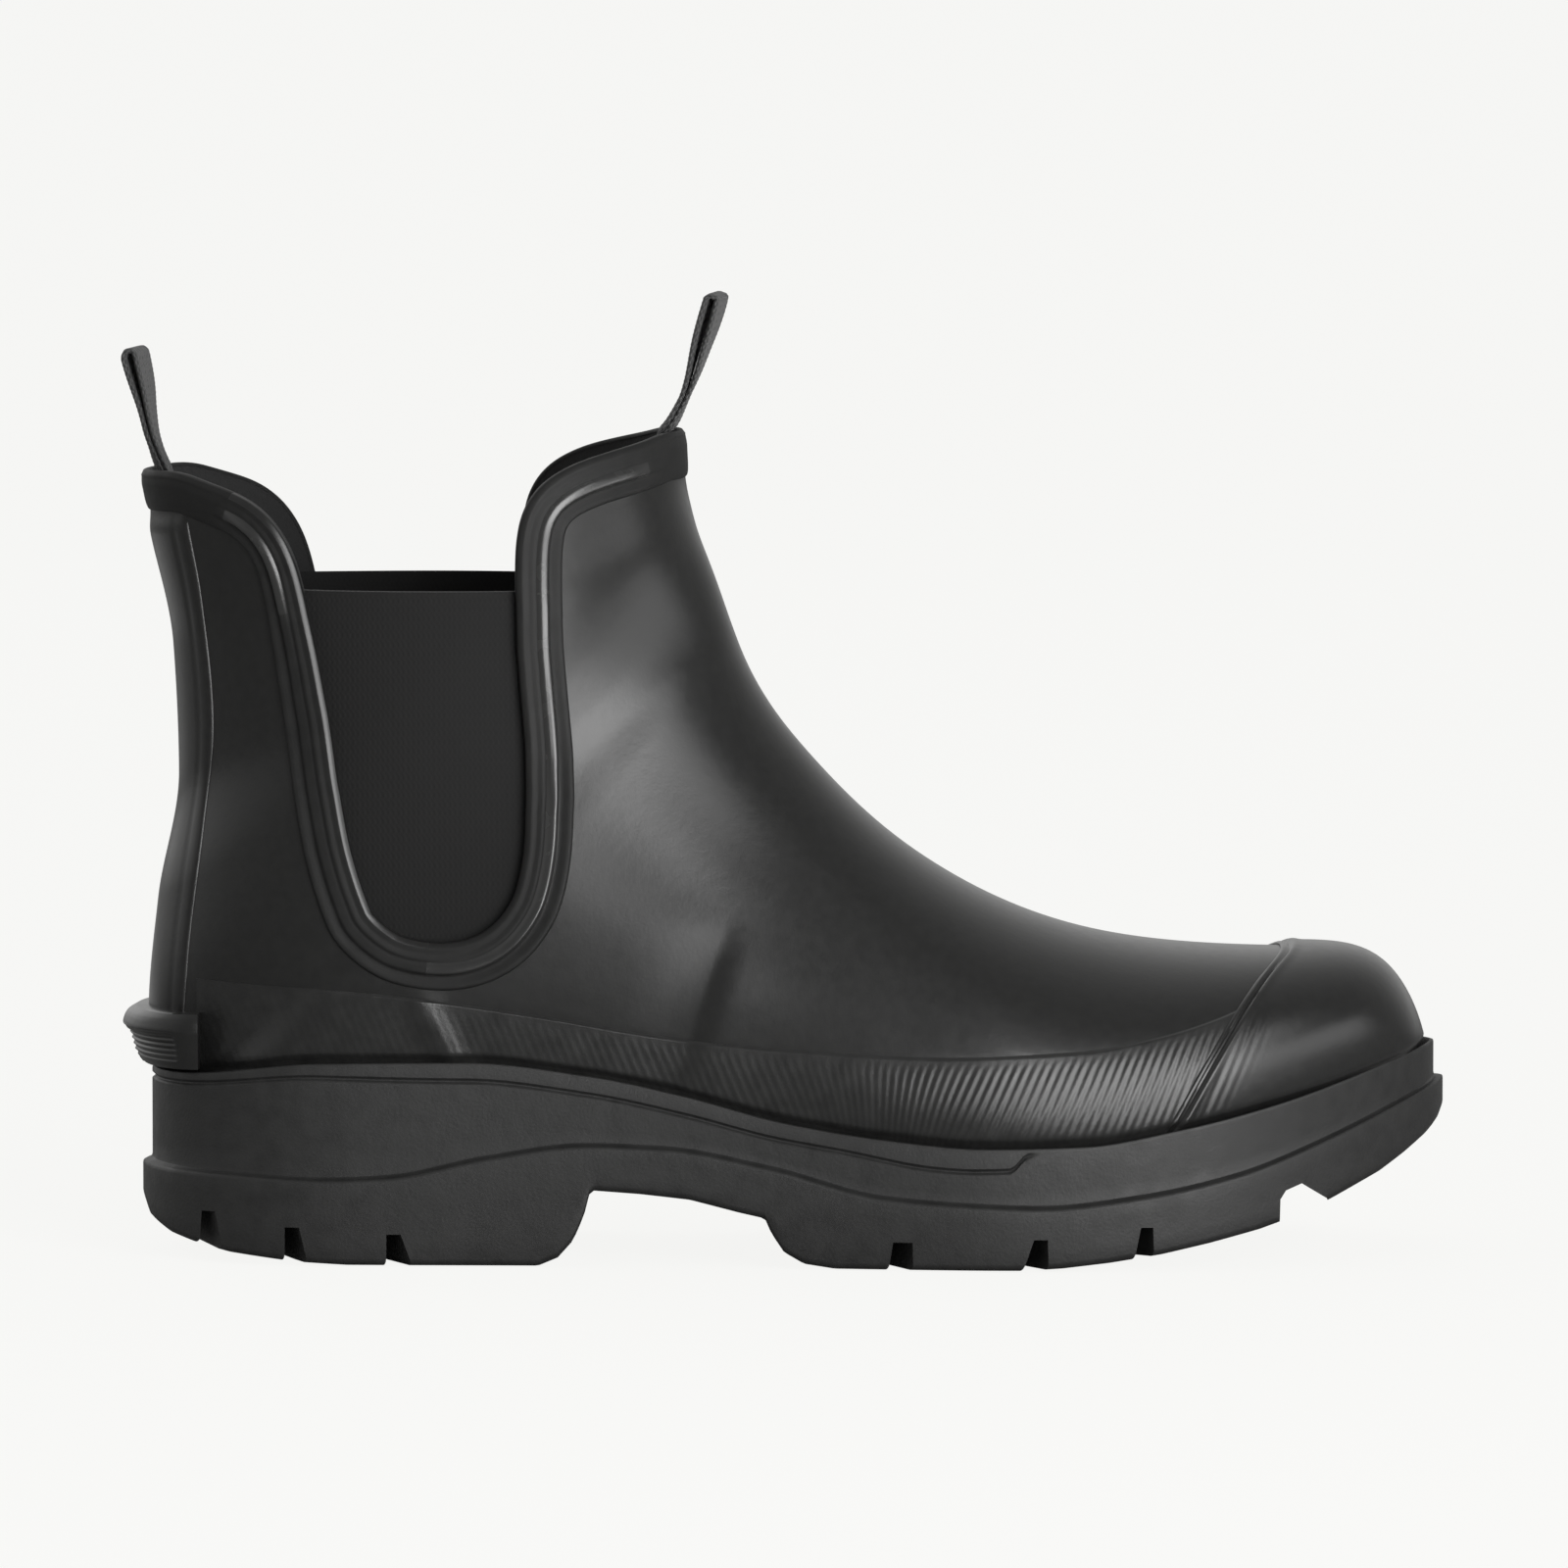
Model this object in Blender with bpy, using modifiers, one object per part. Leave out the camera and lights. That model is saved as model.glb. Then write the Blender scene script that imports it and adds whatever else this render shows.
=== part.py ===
# Pull-on rain boot for the right foot, toe to +X, outer side to -Y, standing on Z = 0.

import bpy
import bmesh
import numpy as np

# Driving sizes, in millimetres
MM = 0.001
LENGTH = 302.3
COLLAR_HEIGHT = 189.2
BALL_WIDTH = 108.2
WALL = 2.4
GAP = 0.3
SEAT_GAP = 0.45
TOE_CAP_THICK = 1.1
STAY_THICK = 1.0
BINDING_THICK = 1.2
GUSSET_THICK = 1.8
INSOLE_THICK = 4.0
RIM_INSET = 2.2
LUG_SKEW = 0.45
LOOP_WIDTH = 18.0
CENTRE_X = 148.4
CENTRE_Y = 0.5

# The tables are drawn at these sizes and scale with the driving sizes
TABLE_LENGTH = 302.3
TABLE_COLLAR_HEIGHT = 189.2
TABLE_BALL_WIDTH = 108.2
SCALE_X = LENGTH / TABLE_LENGTH
SCALE_Y = BALL_WIDTH / TABLE_BALL_WIDTH
SCALE_Z = COLLAR_HEIGHT / TABLE_COLLAR_HEIGHT

# Last: each row is one slanting section from a point on the top line to a point on the foot or back line
SECTION_COLUMNS = (
    "top_x", "top_z", "foot_x", "foot_z", "half_width", "widest", "edge_width", "crown", "closing",
)
SECTIONS = [
    (296.6, 45.4, 296.9, 38.6, 0.0, 0.5, 0.0, 2.2, 1.0),
    (294.3, 53.6, 293.6, 37.7, 14.5, 0.51, 12.5, 2.25, 1.0),
    (287.9, 64.0, 286.4, 35.0, 25.0, 0.53, 21.8, 2.3, 1.0),
    (277.8, 68.6, 275.8, 31.3, 34.0, 0.56, 30.0, 2.35, 1.0),
    (262.2, 69.3, 262.0, 27.1, 42.0, 0.6, 37.3, 2.35, 1.0),
    (240.6, 70.5, 245.0, 22.8, 48.0, 0.64, 43.0, 2.25, 1.0),
    (217.7, 74.3, 228.0, 19.5, 50.3, 0.68, 45.5, 2.1, 1.0),
    (195.0, 82.8, 208.0, 17.8, 50.3, 0.71, 45.5, 2.0, 1.0),
    (172.3, 97.3, 184.0, 17.9, 46.5, 0.73, 41.5, 1.95, 1.0),
    (155.0, 114.1, 152.0, 22.7, 41.2, 0.7, 36.5, 1.9, 1.0),
    (146.0, 125.2, 118.0, 28.9, 38.6, 0.64, 34.2, 1.9, 1.05),
    (140.7, 134.1, 80.0, 34.9, 38.4, 0.58, 34.0, 1.95, 1.2),
    (137.4, 141.8, 45.0, 35.4, 39.0, 0.54, 33.0, 2.0, 1.5),
    (134.8, 149.1, 17.0, 33.8, 39.6, 0.52, 21.5, 2.0, 1.8),
    (132.6, 155.4, 5.4, 35.0, 40.0, 0.5, 0.0, 2.0, 2.1),
    (130.4, 161.2, 2.2, 55.6, 40.6, 0.49, 0.0, 2.0, 2.1),
    (128.4, 166.6, 4.5, 81.6, 41.4, 0.48, 0.0, 2.0, 2.1),
    (126.9, 172.1, 9.4, 110.6, 42.6, 0.47, 0.0, 2.0, 2.1),
    (125.7, 178.1, 8.2, 140.6, 44.0, 0.47, 0.0, 2.0, 2.1),
    (125.2, 184.3, 3.2, 165.1, 45.3, 0.47, 0.0, 2.0, 2.1),
    (125.0, 189.2, 0.2, 179.8, 46.0, 0.47, 0.0, 2.0, 2.1),
]
HEEL_END = 14
COLLAR = 20
SPLIT = 0.62
LOWER_BEND = 2.0

# Swing of the middle line towards the inner side
SWING_COLUMNS = ("x", "swing")
SWING = [
    (0.0, 0.0), (45.0, -0.3), (75.0, -1.5), (105.0, -3.0), (135.0, -4.0), (165.0, -3.5), (190.0, -2.0),
    (210.0, 0.0), (225.0, 1.4), (245.0, 3.3), (265.0, 5.4), (280.0, 6.9), (290.0, 7.9), (302.0, 8.8),
]
SWING_FADE_Z = (60.0, 140.0)

# Sole: plan of the tread, then the side profile of each edge
TREAD_PLAN_COLUMNS = ("x", "half_width")
TREAD_PLAN = [
    (-0.5, 0.0), (2.0, 13.0), (8.0, 25.0), (18.0, 33.7), (32.0, 39.2), (50.0, 41.6), (75.0, 41.4),
    (105.0, 41.0), (135.0, 42.4), (165.0, 47.0), (190.0, 51.8), (208.0, 54.0), (225.0, 54.1),
    (245.0, 52.0), (262.0, 46.6), (275.0, 39.0), (286.0, 29.6), (294.0, 20.6), (299.5, 11.2), (301.8, 0.0),
]
RIM_COLUMNS = ("x", "z")
RIM = [
    (1.0, 42.4), (14.0, 43.2), (42.0, 46.2), (76.0, 46.6), (103.0, 43.7), (126.0, 39.0), (148.0, 33.3),
    (171.0, 29.7), (194.0, 27.8), (217.0, 28.3), (239.0, 31.8), (262.0, 37.0), (285.0, 43.7), (294.0, 46.4),
    (297.0, 47.2), (299.8, 47.8),
]
TREAD_EDGE_COLUMNS = ("x", "z")
TREAD_EDGE = [
    (-0.5, 20.6), (19.0, 20.3), (42.0, 19.4), (57.5, 20.1), (80.0, 24.6), (103.0, 27.6), (121.0, 27.0),
    (146.0, 22.6), (171.0, 16.3), (194.0, 14.6), (207.5, 14.2), (230.0, 16.5), (253.0, 21.2), (270.0, 27.0),
    (285.0, 32.8), (294.0, 36.4), (301.8, 39.5),
]
GROUND_COLUMNS = ("x", "z")
GROUND = [
    (-0.5, 11.8), (1.6, 8.3), (7.0, 5.6), (13.0, 4.0), (21.0, 2.3), (36.0, 0.6), (48.0, 0.0), (92.0, 0.0),
    (96.5, 1.9), (100.0, 5.8), (102.5, 11.5), (104.0, 17.4), (115.5, 16.6), (126.8, 15.4), (138.0, 12.6),
    (144.0, 11.3), (145.5, 7.9), (148.4, 3.6), (153.0, 1.0), (160.0, 0.0), (203.0, 0.0), (212.0, 0.5),
    (223.0, 1.7), (235.0, 3.5), (246.0, 5.8), (257.5, 8.5), (266.0, 11.1), (274.5, 14.5), (280.0, 17.0),
    (286.0, 19.7), (291.6, 23.1), (297.0, 26.8), (300.3, 29.6), (301.8, 31.6),
]
GROOVE_COLUMNS = ("x", "foot_width", "top_z")
GROOVES = [
    (16.0, 3.4, 11.6), (35.4, 5.2, 8.6), (58.6, 6.4, 7.2), (174.1, 4.2, 6.4), (207.0, 6.2, 7.2),
    (232.2, 5.4, 9.8),
]
GROOVE_TOP_WIDTH = 1.4
TOE_NOTCH = [
    (262.0, 3.0), (262.3, 15.2), (263.6, 17.2), (267.3, 18.6), (273.4, 14.6), (274.6, 3.0),
]
CHANNEL_COLUMNS = ("x_from", "x_to", "half_width", "top_z")
CHANNELS = [(26.0, 84.0, 4.0, 5.0), (164.0, 246.0, 4.0, 5.0)]

# Side outlines, x and z, cut straight through both sides
CUT_OUT = [
    (2.0, 183.2), (13.5, 179.2), (22.7, 176.2), (27.8, 173.2), (31.0, 170.0), (34.4, 164.2), (36.6, 156.6),
    (38.1, 149.8), (40.4, 139.5), (43.7, 120.7), (47.2, 100.5), (51.3, 85.7), (56.2, 77.7), (63.1, 73.9),
    (71.5, 73.0), (79.9, 75.5), (86.8, 82.7), (90.2, 94.1), (91.0, 107.9), (90.7, 121.7), (89.8, 134.0),
    (89.2, 146.0), (89.0, 157.2), (89.3, 166.0), (90.6, 172.2), (93.8, 177.0), (98.2, 180.5), (103.6, 183.0),
    (110.0, 185.0), (116.0, 186.6), (121.8, 188.4), (124.0, 189.6), (124.0, 212.0), (2.0, 212.0),
]
BINDING_AREA = [
    (-14.0, 172.8), (8.0, 172.2), (17.8, 168.6), (24.2, 161.8), (28.4, 152.0), (31.3, 138.5), (34.5, 119.2),
    (38.0, 99.0), (42.4, 82.7), (48.6, 71.6), (59.2, 65.4), (71.5, 63.7), (83.9, 66.7), (94.7, 76.8),
    (99.8, 91.1), (101.0, 107.9), (100.6, 122.7), (99.8, 134.0), (99.2, 145.0), (98.9, 155.5), (99.4, 163.0),
    (101.6, 168.6), (105.8, 172.4), (111.2, 174.9), (118.0, 177.0), (140.0, 182.2), (140.0, 212.0),
    (-14.0, 212.0),
]
GUSSET_AREA = [
    (31.6, 154.5), (34.4, 139.5), (37.8, 119.7), (41.3, 99.8), (45.7, 83.7), (51.6, 73.6), (61.2, 68.2),
    (71.5, 66.8), (82.4, 69.6), (91.8, 79.3), (96.2, 92.6), (97.1, 107.9), (96.8, 121.7), (95.8, 134.0),
    (95.1, 154.5), (64.6, 153.6),
]
TOE_CAP_AREA = [
    (236.3, 32.3), (238.2, 35.8), (247.2, 50.8), (256.9, 63.6), (266.7, 71.6), (268.2, 86.2), (320.0, 86.0),
    (320.0, 55.0), (297.6, 48.4), (293.6, 47.3), (284.1, 44.6), (260.7, 37.5), (245.6, 34.1),
]
STAY_AREA = [
    (-14.0, 57.1), (10.1, 57.1), (11.3, 72.4), (14.6, 98.8), (17.0, 123.3), (14.3, 153.0), (11.6, 168.4),
    (8.4, 170.4), (-14.0, 171.4),
]

# Heel ledge: each row is one level of its half round
SPUR_COLUMNS = ("z", "back_x", "half_width")
SPUR = [
    (43.8, -0.2, 28.2), (46.2, -2.0, 28.8), (48.6, -2.8, 29.3), (50.4, -3.4, 29.7), (52.6, -5.0, 30.2),
    (54.2, -4.6, 30.1), (55.3, -3.9, 29.8), (56.6, -1.8, 29.1),
]
SPUR_FRONT_X = 13.5
SPUR_STEPS = 14

# Pull loops: each row is one height of the folded webbing
LOOP_COLUMNS = ("z", "x", "half_depth")
FRONT_LOOP = [
    (174.6, 119.6, 1.2), (189.4, 119.8, 1.25), (192.2, 121.6, 1.3), (194.8, 123.5, 1.4), (198.5, 125.5, 1.7),
    (207.6, 128.6, 2.3), (214.6, 130.9, 2.8), (218.6, 132.3, 2.7), (221.0, 133.0, 1.7), (221.8, 133.2, 0.5),
]
FRONT_LOOP_EYE = [
    (200.1, 126.05, 0.35), (207.6, 128.6, 1.1), (214.6, 130.9, 1.6), (218.6, 132.3, 1.3),
    (220.0, 132.7, 0.5),
]
BACK_LOOP = [
    (167.6, 9.6, 1.2), (174.6, 7.9, 1.2), (180.6, 6.8, 1.25), (183.8, 4.8, 1.3), (187.6, 2.9, 1.4),
    (194.1, 0.9, 1.7), (200.6, -0.6, 2.3), (205.1, -1.7, 2.8), (207.6, -2.2, 2.6), (209.4, -2.5, 1.7),
    (210.0, -2.6, 0.5),
]
BACK_LOOP_EYE = [
    (193.6, 1.0, 0.35), (200.6, -0.6, 1.1), (205.1, -1.7, 1.6), (207.4, -2.2, 1.2), (208.4, -2.4, 0.5),
]

# Mesh steps
ROW_STEPS = 2
CROWN_STEPS = 8
SIDE_STEPS = 4
MERGE = 0.00002

MATERIALS = {
    "boot_rubber": ((0.018, 0.018, 0.019, 1.0), 0.42),
    "sole_rubber": ((0.022, 0.022, 0.022, 1.0), 0.55),
    "elastic": ((0.015, 0.015, 0.016, 1.0), 0.9),
    "webbing": ((0.020, 0.020, 0.021, 1.0), 0.85),
    "foam": ((0.045, 0.045, 0.047, 1.0), 0.9),
}


def spline(xs, ys, at):
    """Natural cubic through the rows, so that slope and bend both run on evenly."""
    xs = np.asarray(xs, float)
    ys = np.asarray(ys, float)
    at = np.asarray(at, float)
    count = len(xs)
    step = np.diff(xs)
    matrix = np.eye(count)
    right = np.zeros(count)
    for i in range(1, count - 1):
        matrix[i, i - 1] = step[i - 1]
        matrix[i, i] = 2.0 * (step[i - 1] + step[i])
        matrix[i, i + 1] = step[i]
        right[i] = 6.0 * ((ys[i + 1] - ys[i]) / step[i] - (ys[i] - ys[i - 1]) / step[i - 1])
    bend = np.linalg.solve(matrix, right)
    k = np.clip(np.searchsorted(xs, at, side="right") - 1, 0, count - 2)
    left = at - xs[k]
    rest = xs[k + 1] - at
    cubic = (bend[k] * rest ** 3 + bend[k + 1] * left ** 3) / (6.0 * step[k])
    line = (ys[k] / step[k] - bend[k] * step[k] / 6.0) * rest
    return cubic + line + (ys[k + 1] / step[k] - bend[k + 1] * step[k] / 6.0) * left


def even(xs, ys, at):
    """Cubic through the rows that never runs past them: the slope at a row is the harmonic mean."""
    xs = np.asarray(xs, float)
    ys = np.asarray(ys, float)
    at = np.asarray(at, float)
    step = np.diff(xs)
    rise = np.diff(ys) / step
    slope = np.zeros(len(xs))
    slope[0] = rise[0]
    slope[-1] = rise[-1]
    for i in range(1, len(xs) - 1):
        if rise[i - 1] * rise[i] > 0.0:
            slope[i] = 2.0 * rise[i - 1] * rise[i] / (rise[i - 1] + rise[i])
    k = np.clip(np.searchsorted(xs, at, side="right") - 1, 0, len(xs) - 2)
    u = (at - xs[k]) / step[k]
    start = (1.0 + 2.0 * u) * (1.0 - u) ** 2 * ys[k] + u * (1.0 - u) ** 2 * step[k] * slope[k]
    return start + u * u * (3.0 - 2.0 * u) * ys[k + 1] + u * u * (u - 1.0) * step[k] * slope[k + 1]


def column(table, names, name):
    return np.array([row[names.index(name)] for row in table], float)


def section(name, step):
    """One size of the last at any step between the rows; the rows run on mirrored past the toe."""
    values = column(SECTIONS, SECTION_COLUMNS, name)
    mirror = -1.0 if name in ("half_width", "edge_width") else 1.0
    values = np.concatenate([mirror * values[3:0:-1], values])
    rows = np.arange(-3, len(SECTIONS))
    if name in ("foot_x", "foot_z", "edge_width", "closing"):
        return even(rows, values, step)
    return spline(rows, values, step)


def swing(x, z):
    """Sideways shift of the middle line: full at the foot, none at the shaft."""
    shift = even(column(SWING, SWING_COLUMNS, "x"), column(SWING, SWING_COLUMNS, "swing"), np.clip(x, 0, 302))
    fade = np.clip((z - SWING_FADE_Z[0]) / (SWING_FADE_Z[1] - SWING_FADE_Z[0]), 0.0, 1.0)
    return shift * (1.0 - fade * fade * (3.0 - 2.0 * fade))


def last(step, turn):
    """Point of the last: step runs from toe to collar, turn from -1 outer edge over the top to +1 inner edge.

    From the top line the section bulges like a rounded oval to its widest place, then draws in to the edge.
    """
    size = {name: section(name, step) for name in SECTION_COLUMNS}
    part = np.abs(turn)
    upper = np.clip(part / SPLIT, 0.0, 1.0) * np.pi / 2
    lower = np.clip((part - SPLIT) / (1.0 - SPLIT), 0.0, 1.0)
    power = 2.0 / size["crown"]
    rise_along = size["widest"] * (1.0 - np.cos(upper) ** power)
    rise_out = size["half_width"] * np.abs(np.sin(upper)) ** power
    fall = np.sin(lower * np.pi / 2)
    closing = np.clip(1.0 - fall ** LOWER_BEND, 0.0, 1.0) ** (1.0 / size["closing"])
    fall_along = size["widest"] + (1.0 - size["widest"]) * fall
    fall_out = size["edge_width"] + (size["half_width"] - size["edge_width"]) * closing
    along = np.where(part <= SPLIT, rise_along, fall_along)
    out = np.where(part <= SPLIT, rise_out, fall_out)
    x = size["top_x"] + (size["foot_x"] - size["top_x"]) * along
    z = size["top_z"] + (size["foot_z"] - size["top_z"]) * along
    y = swing(x, z) + np.sign(turn) * out
    return np.stack([x * SCALE_X, y * SCALE_Y, z * SCALE_Z], axis=-1)


def last_normal(step, turn):
    """Outward direction of the last, from two short steps along and across it."""
    small = 0.002
    ahead = last(np.clip(step + small, 0, COLLAR), turn) - last(np.clip(step - small, 0, COLLAR), turn)
    across = last(step, np.clip(turn + small, -1, 1)) - last(step, np.clip(turn - small, -1, 1))
    normal = np.cross(across, ahead)
    return normal / np.maximum(np.linalg.norm(normal, axis=-1, keepdims=True), 1e-12)


def skin_grid(offset, first=0, final=COLLAR):
    """Rows of points on the last, moved out by the offset, with the toe line and the back line closed."""
    steps = np.linspace(first, final, (final - first) * ROW_STEPS + 1)
    half = np.concatenate([
        np.linspace(0.0, SPLIT, CROWN_STEPS + 1),
        np.linspace(SPLIT, 1.0, SIDE_STEPS + 1)[1:],
    ])
    turns = np.concatenate([-half[:0:-1], half])
    step, turn = np.meshgrid(steps, turns, indexing="ij")
    grid = last(step, turn) + offset * last_normal(step, turn)
    if first == 0:
        grid[0] = (grid[0] + grid[0, ::-1]) / 2.0
    back = steps >= HEEL_END
    seam = (grid[back, 0] + grid[back, -1]) / 2.0
    grid[back, 0] = seam
    grid[back, -1] = seam
    return grid


def material(name):
    made = bpy.data.materials.get(name)
    if made is None:
        made = bpy.data.materials.new(name)
        made.use_nodes = True
        shader = made.node_tree.nodes["Principled BSDF"]
        shader.inputs["Base Color"].default_value = MATERIALS[name][0]
        shader.inputs["Roughness"].default_value = MATERIALS[name][1]
        made.diffuse_color = MATERIALS[name][0]
    return made


def place(name, vertices, faces, collection, look=None):
    """Put a mesh, given in millimetres, into a collection in metres with its doubled points joined."""
    mesh = bpy.data.meshes.new(name)
    points = (np.asarray(vertices, float) - (CENTRE_X, CENTRE_Y, 0.0)) * MM
    mesh.from_pydata([tuple(p) for p in points], [], faces)
    form = bmesh.new()
    form.from_mesh(mesh)
    bmesh.ops.remove_doubles(form, verts=form.verts, dist=MERGE)
    bmesh.ops.dissolve_degenerate(form, edges=form.edges, dist=MERGE)
    form.to_mesh(mesh)
    form.free()
    thing = bpy.data.objects.new(name, mesh)
    collection.objects.link(thing)
    if look:
        mesh.materials.append(material(look))
    else:
        thing.hide_render = True
        thing.display_type = "WIRE"
    return thing


def turn_out(thing):
    """Make the faces of a closed mesh point outwards."""
    form = bmesh.new()
    form.from_mesh(thing.data)
    bmesh.ops.recalc_face_normals(form, faces=form.faces)
    form.to_mesh(thing.data)
    form.free()
    return thing


def grid_faces(rows, columns):
    """Two triangles to each square, leaning the same way from the middle on both sides."""
    faces = []
    for i in range(rows - 1):
        for j in range(columns - 1):
            a = i * columns + j
            b = a + columns
            if j < columns // 2:
                faces += [(a, a + 1, b), (a + 1, b + 1, b)]
            else:
                faces += [(a, a + 1, b + 1), (a, b + 1, b)]
    return faces


def skin(name, offset, collection, look, first=0, final=COLLAR):
    """Open sheet of the last between two rows."""
    grid = skin_grid(offset, first, final)
    rows, columns = grid.shape[:2]
    return place(name, grid.reshape(-1, 3), grid_faces(rows, columns), collection, look)


def closed_last(name, offset, collection):
    """Solid of the last: the skin, a floor between its lower edges and a lid on the collar."""
    grid = skin_grid(offset)
    foot = HEEL_END * ROW_STEPS + 1
    steps = np.linspace(0, HEEL_END, foot)
    for turn, end in ((-1.0, 0), (1.0, -1)):
        edge = last(steps, np.full(foot, turn))
        run = np.gradient(edge[:, :2], axis=0)
        run /= np.linalg.norm(run, axis=1, keepdims=True)
        run[0] = (0.0, turn)
        run[-1] = (0.0, -turn)
        edge += offset * np.stack([run[:, 1] * turn, -run[:, 0] * turn, -np.ones(foot)], axis=1)
        grid[:foot, end] = edge
    rows, columns = grid.shape[:2]
    faces = grid_faces(rows, columns)
    for i in range(HEEL_END * ROW_STEPS):
        faces.append((i * columns, i * columns + columns - 1, (i + 1) * columns + columns - 1, (i + 1) * columns))
    faces.append(tuple(range((rows - 1) * columns, rows * columns - 1)))
    return turn_out(place(name, grid.reshape(-1, 3), faces, collection))


def rounded(outline, steps, straight):
    """Run a smooth curve through the points of a side outline, but leave its last straight points alone."""
    curve = outline[:len(outline) - straight]
    rows = np.arange(len(curve))
    fine = np.linspace(0, len(curve) - 1, (len(curve) - 1) * steps + 1)
    x = spline(rows, [p[0] for p in curve], fine)
    z = spline(rows, [p[1] for p in curve], fine)
    return list(zip(x, z)) + outline[len(outline) - straight:]


def prism(name, outline, collection, low=-90.0, high=90.0, look=None):
    """Side outline, x and z, carried straight across from one y to another."""
    count = len(outline)
    vertices = [(x * SCALE_X, low, z * SCALE_Z) for x, z in outline]
    vertices += [(x * SCALE_X, high, z * SCALE_Z) for x, z in outline]
    faces = [tuple(range(count)), tuple(range(2 * count - 1, count - 1, -1))]
    faces += [(i, (i + 1) % count, count + (i + 1) % count, count + i) for i in range(count)]
    return turn_out(place(name, vertices, faces, collection, look))


def boolean(thing, cutter, operation):
    step = thing.modifiers.new(operation.lower() + " " + cutter.name, "BOOLEAN")
    step.operation = operation
    step.solver = "EXACT"
    step.object = cutter
    return thing


def shell(thing, thickness, offset):
    step = thing.modifiers.new("wall", "SOLIDIFY")
    step.thickness = thickness * MM
    step.offset = offset
    step.use_even_offset = True
    step.use_quality_normals = True
    return thing


def smooth(thing, degrees=40.0):
    thing.data.shade_smooth()
    thing.data.set_sharp_from_angle(angle=np.radians(degrees))
    return thing


def draw_in(x, half, inset):
    """Plan outline, half width over x, drawn in evenly by the inset; its ends stay on the middle line."""
    run = np.gradient(x)
    spread = np.gradient(half)
    size = np.hypot(run, spread)
    inner_x = x + inset * spread / size
    inner_half = half - inset * run / size
    inner_x[0] = x[0] + inset
    inner_x[-1] = x[-1] - inset
    inner_half[0] = 0.0
    inner_half[-1] = 0.0
    return inner_x, np.maximum(inner_half, 0.0)


def tread_outline(inset):
    rows = np.arange(len(TREAD_PLAN))
    fine = np.linspace(0, len(TREAD_PLAN) - 1, 400)
    x = spline(rows, column(TREAD_PLAN, TREAD_PLAN_COLUMNS, "x"), fine)
    half = spline(rows, column(TREAD_PLAN, TREAD_PLAN_COLUMNS, "half_width"), fine)
    return draw_in(x, half, inset)


def sole_layer(name, inset, low, high, corner, collection, look=None):
    """Slab of the sole: a row of sections from heel to toe, each with rounded lower corners."""
    plan_x, plan_half = tread_outline(inset)
    order = np.argsort(plan_x)
    ease = (1.0 - np.cos(np.linspace(0.0, np.pi, 37))) / 2.0
    ends = plan_x.min() + (plan_x.max() - plan_x.min()) * ease
    breaks = [x for x, z in GROUND if plan_x.min() + 1.0 < x < plan_x.max() - 1.0]
    keep = [x for x in ends if min(abs(x - b) for b in breaks) > 1.2]
    stations = np.array(sorted(keep + breaks))
    half = np.interp(stations, plan_x[order], plan_half[order])
    half[0] = 0.0
    half[-1] = 0.0
    floor = low(stations)
    roof = np.maximum(high(stations), floor + 0.4)
    middle = swing(stations, np.zeros(len(stations)))
    draw = np.minimum(corner, half * 0.4)
    lift = np.minimum(corner, (roof - floor) * 0.4)
    sides = [(draw - half, floor), (half - draw, floor), (half, floor + lift), (half, roof)]
    sides += [(-half, roof), (-half, floor + lift)]
    count = len(sides)
    vertices = []
    for i in range(len(stations)):
        for across, z in sides:
            vertices.append((stations[i] * SCALE_X, (middle[i] + across[i]) * SCALE_Y, z[i] * SCALE_Z))
    faces = []
    for i in range(len(stations) - 1):
        for j in range(count):
            a = i * count + j
            b = i * count + (j + 1) % count
            faces.append((a, b, b + count, a + count))
    return turn_out(place(name, vertices, faces, collection, look))


def profile(table, names):
    return lambda x: even(column(table, names, "x"), column(table, names, "z"), np.clip(x, table[0][0], table[-1][0]))


def ground(x):
    return np.interp(x, column(GROUND, GROUND_COLUMNS, "x"), column(GROUND, GROUND_COLUMNS, "z"))


def grooves(name, side, collection):
    """Wedge grooves of one side: narrow at the top, running inwards and towards the heel."""
    vertices = []
    faces = []
    plan_x, plan_half = tread_outline(0.0)
    for x, foot_width, top_z in GROOVES:
        edge = np.interp(x, plan_x, plan_half)
        near = 2.0 if x > 20.0 else 8.0
        start = len(vertices)
        for reach in (near, 75.0):
            along = x - LUG_SKEW * (edge - reach)
            low = [(along - 0.7 * foot_width, -4.0), (along + 0.7 * foot_width, -4.0)]
            top = [(along + GROOVE_TOP_WIDTH / 2, top_z), (along - GROOVE_TOP_WIDTH / 2, top_z)]
            vertices += [(across, side * reach, z) for across, z in low + top]
        faces += [tuple(start + i for i in (0, 1, 2, 3)), tuple(start + i for i in (7, 6, 5, 4))]
        faces += [tuple(start + i for i in (j, (j + 1) % 4, 4 + (j + 1) % 4, 4 + j)) for j in range(4)]
    return turn_out(place(name, vertices, faces, collection))


def channels(name, collection):
    """Long channels under heel and forefoot that the grooves run into."""
    vertices = []
    faces = []
    for x_from, x_to, half_width, top_z in CHANNELS:
        a = len(vertices)
        for x in (x_from, x_to):
            vertices += [(x, y, z) for y in (-half_width, half_width) for z in (-5.0, top_z)]
        corners = ((0, 1, 3, 2), (4, 6, 7, 5), (0, 4, 5, 1), (2, 3, 7, 6), (0, 2, 6, 4), (1, 5, 7, 3))
        faces += [tuple(a + i for i in corner) for corner in corners]
    return turn_out(place(name, vertices, faces, collection))


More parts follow.
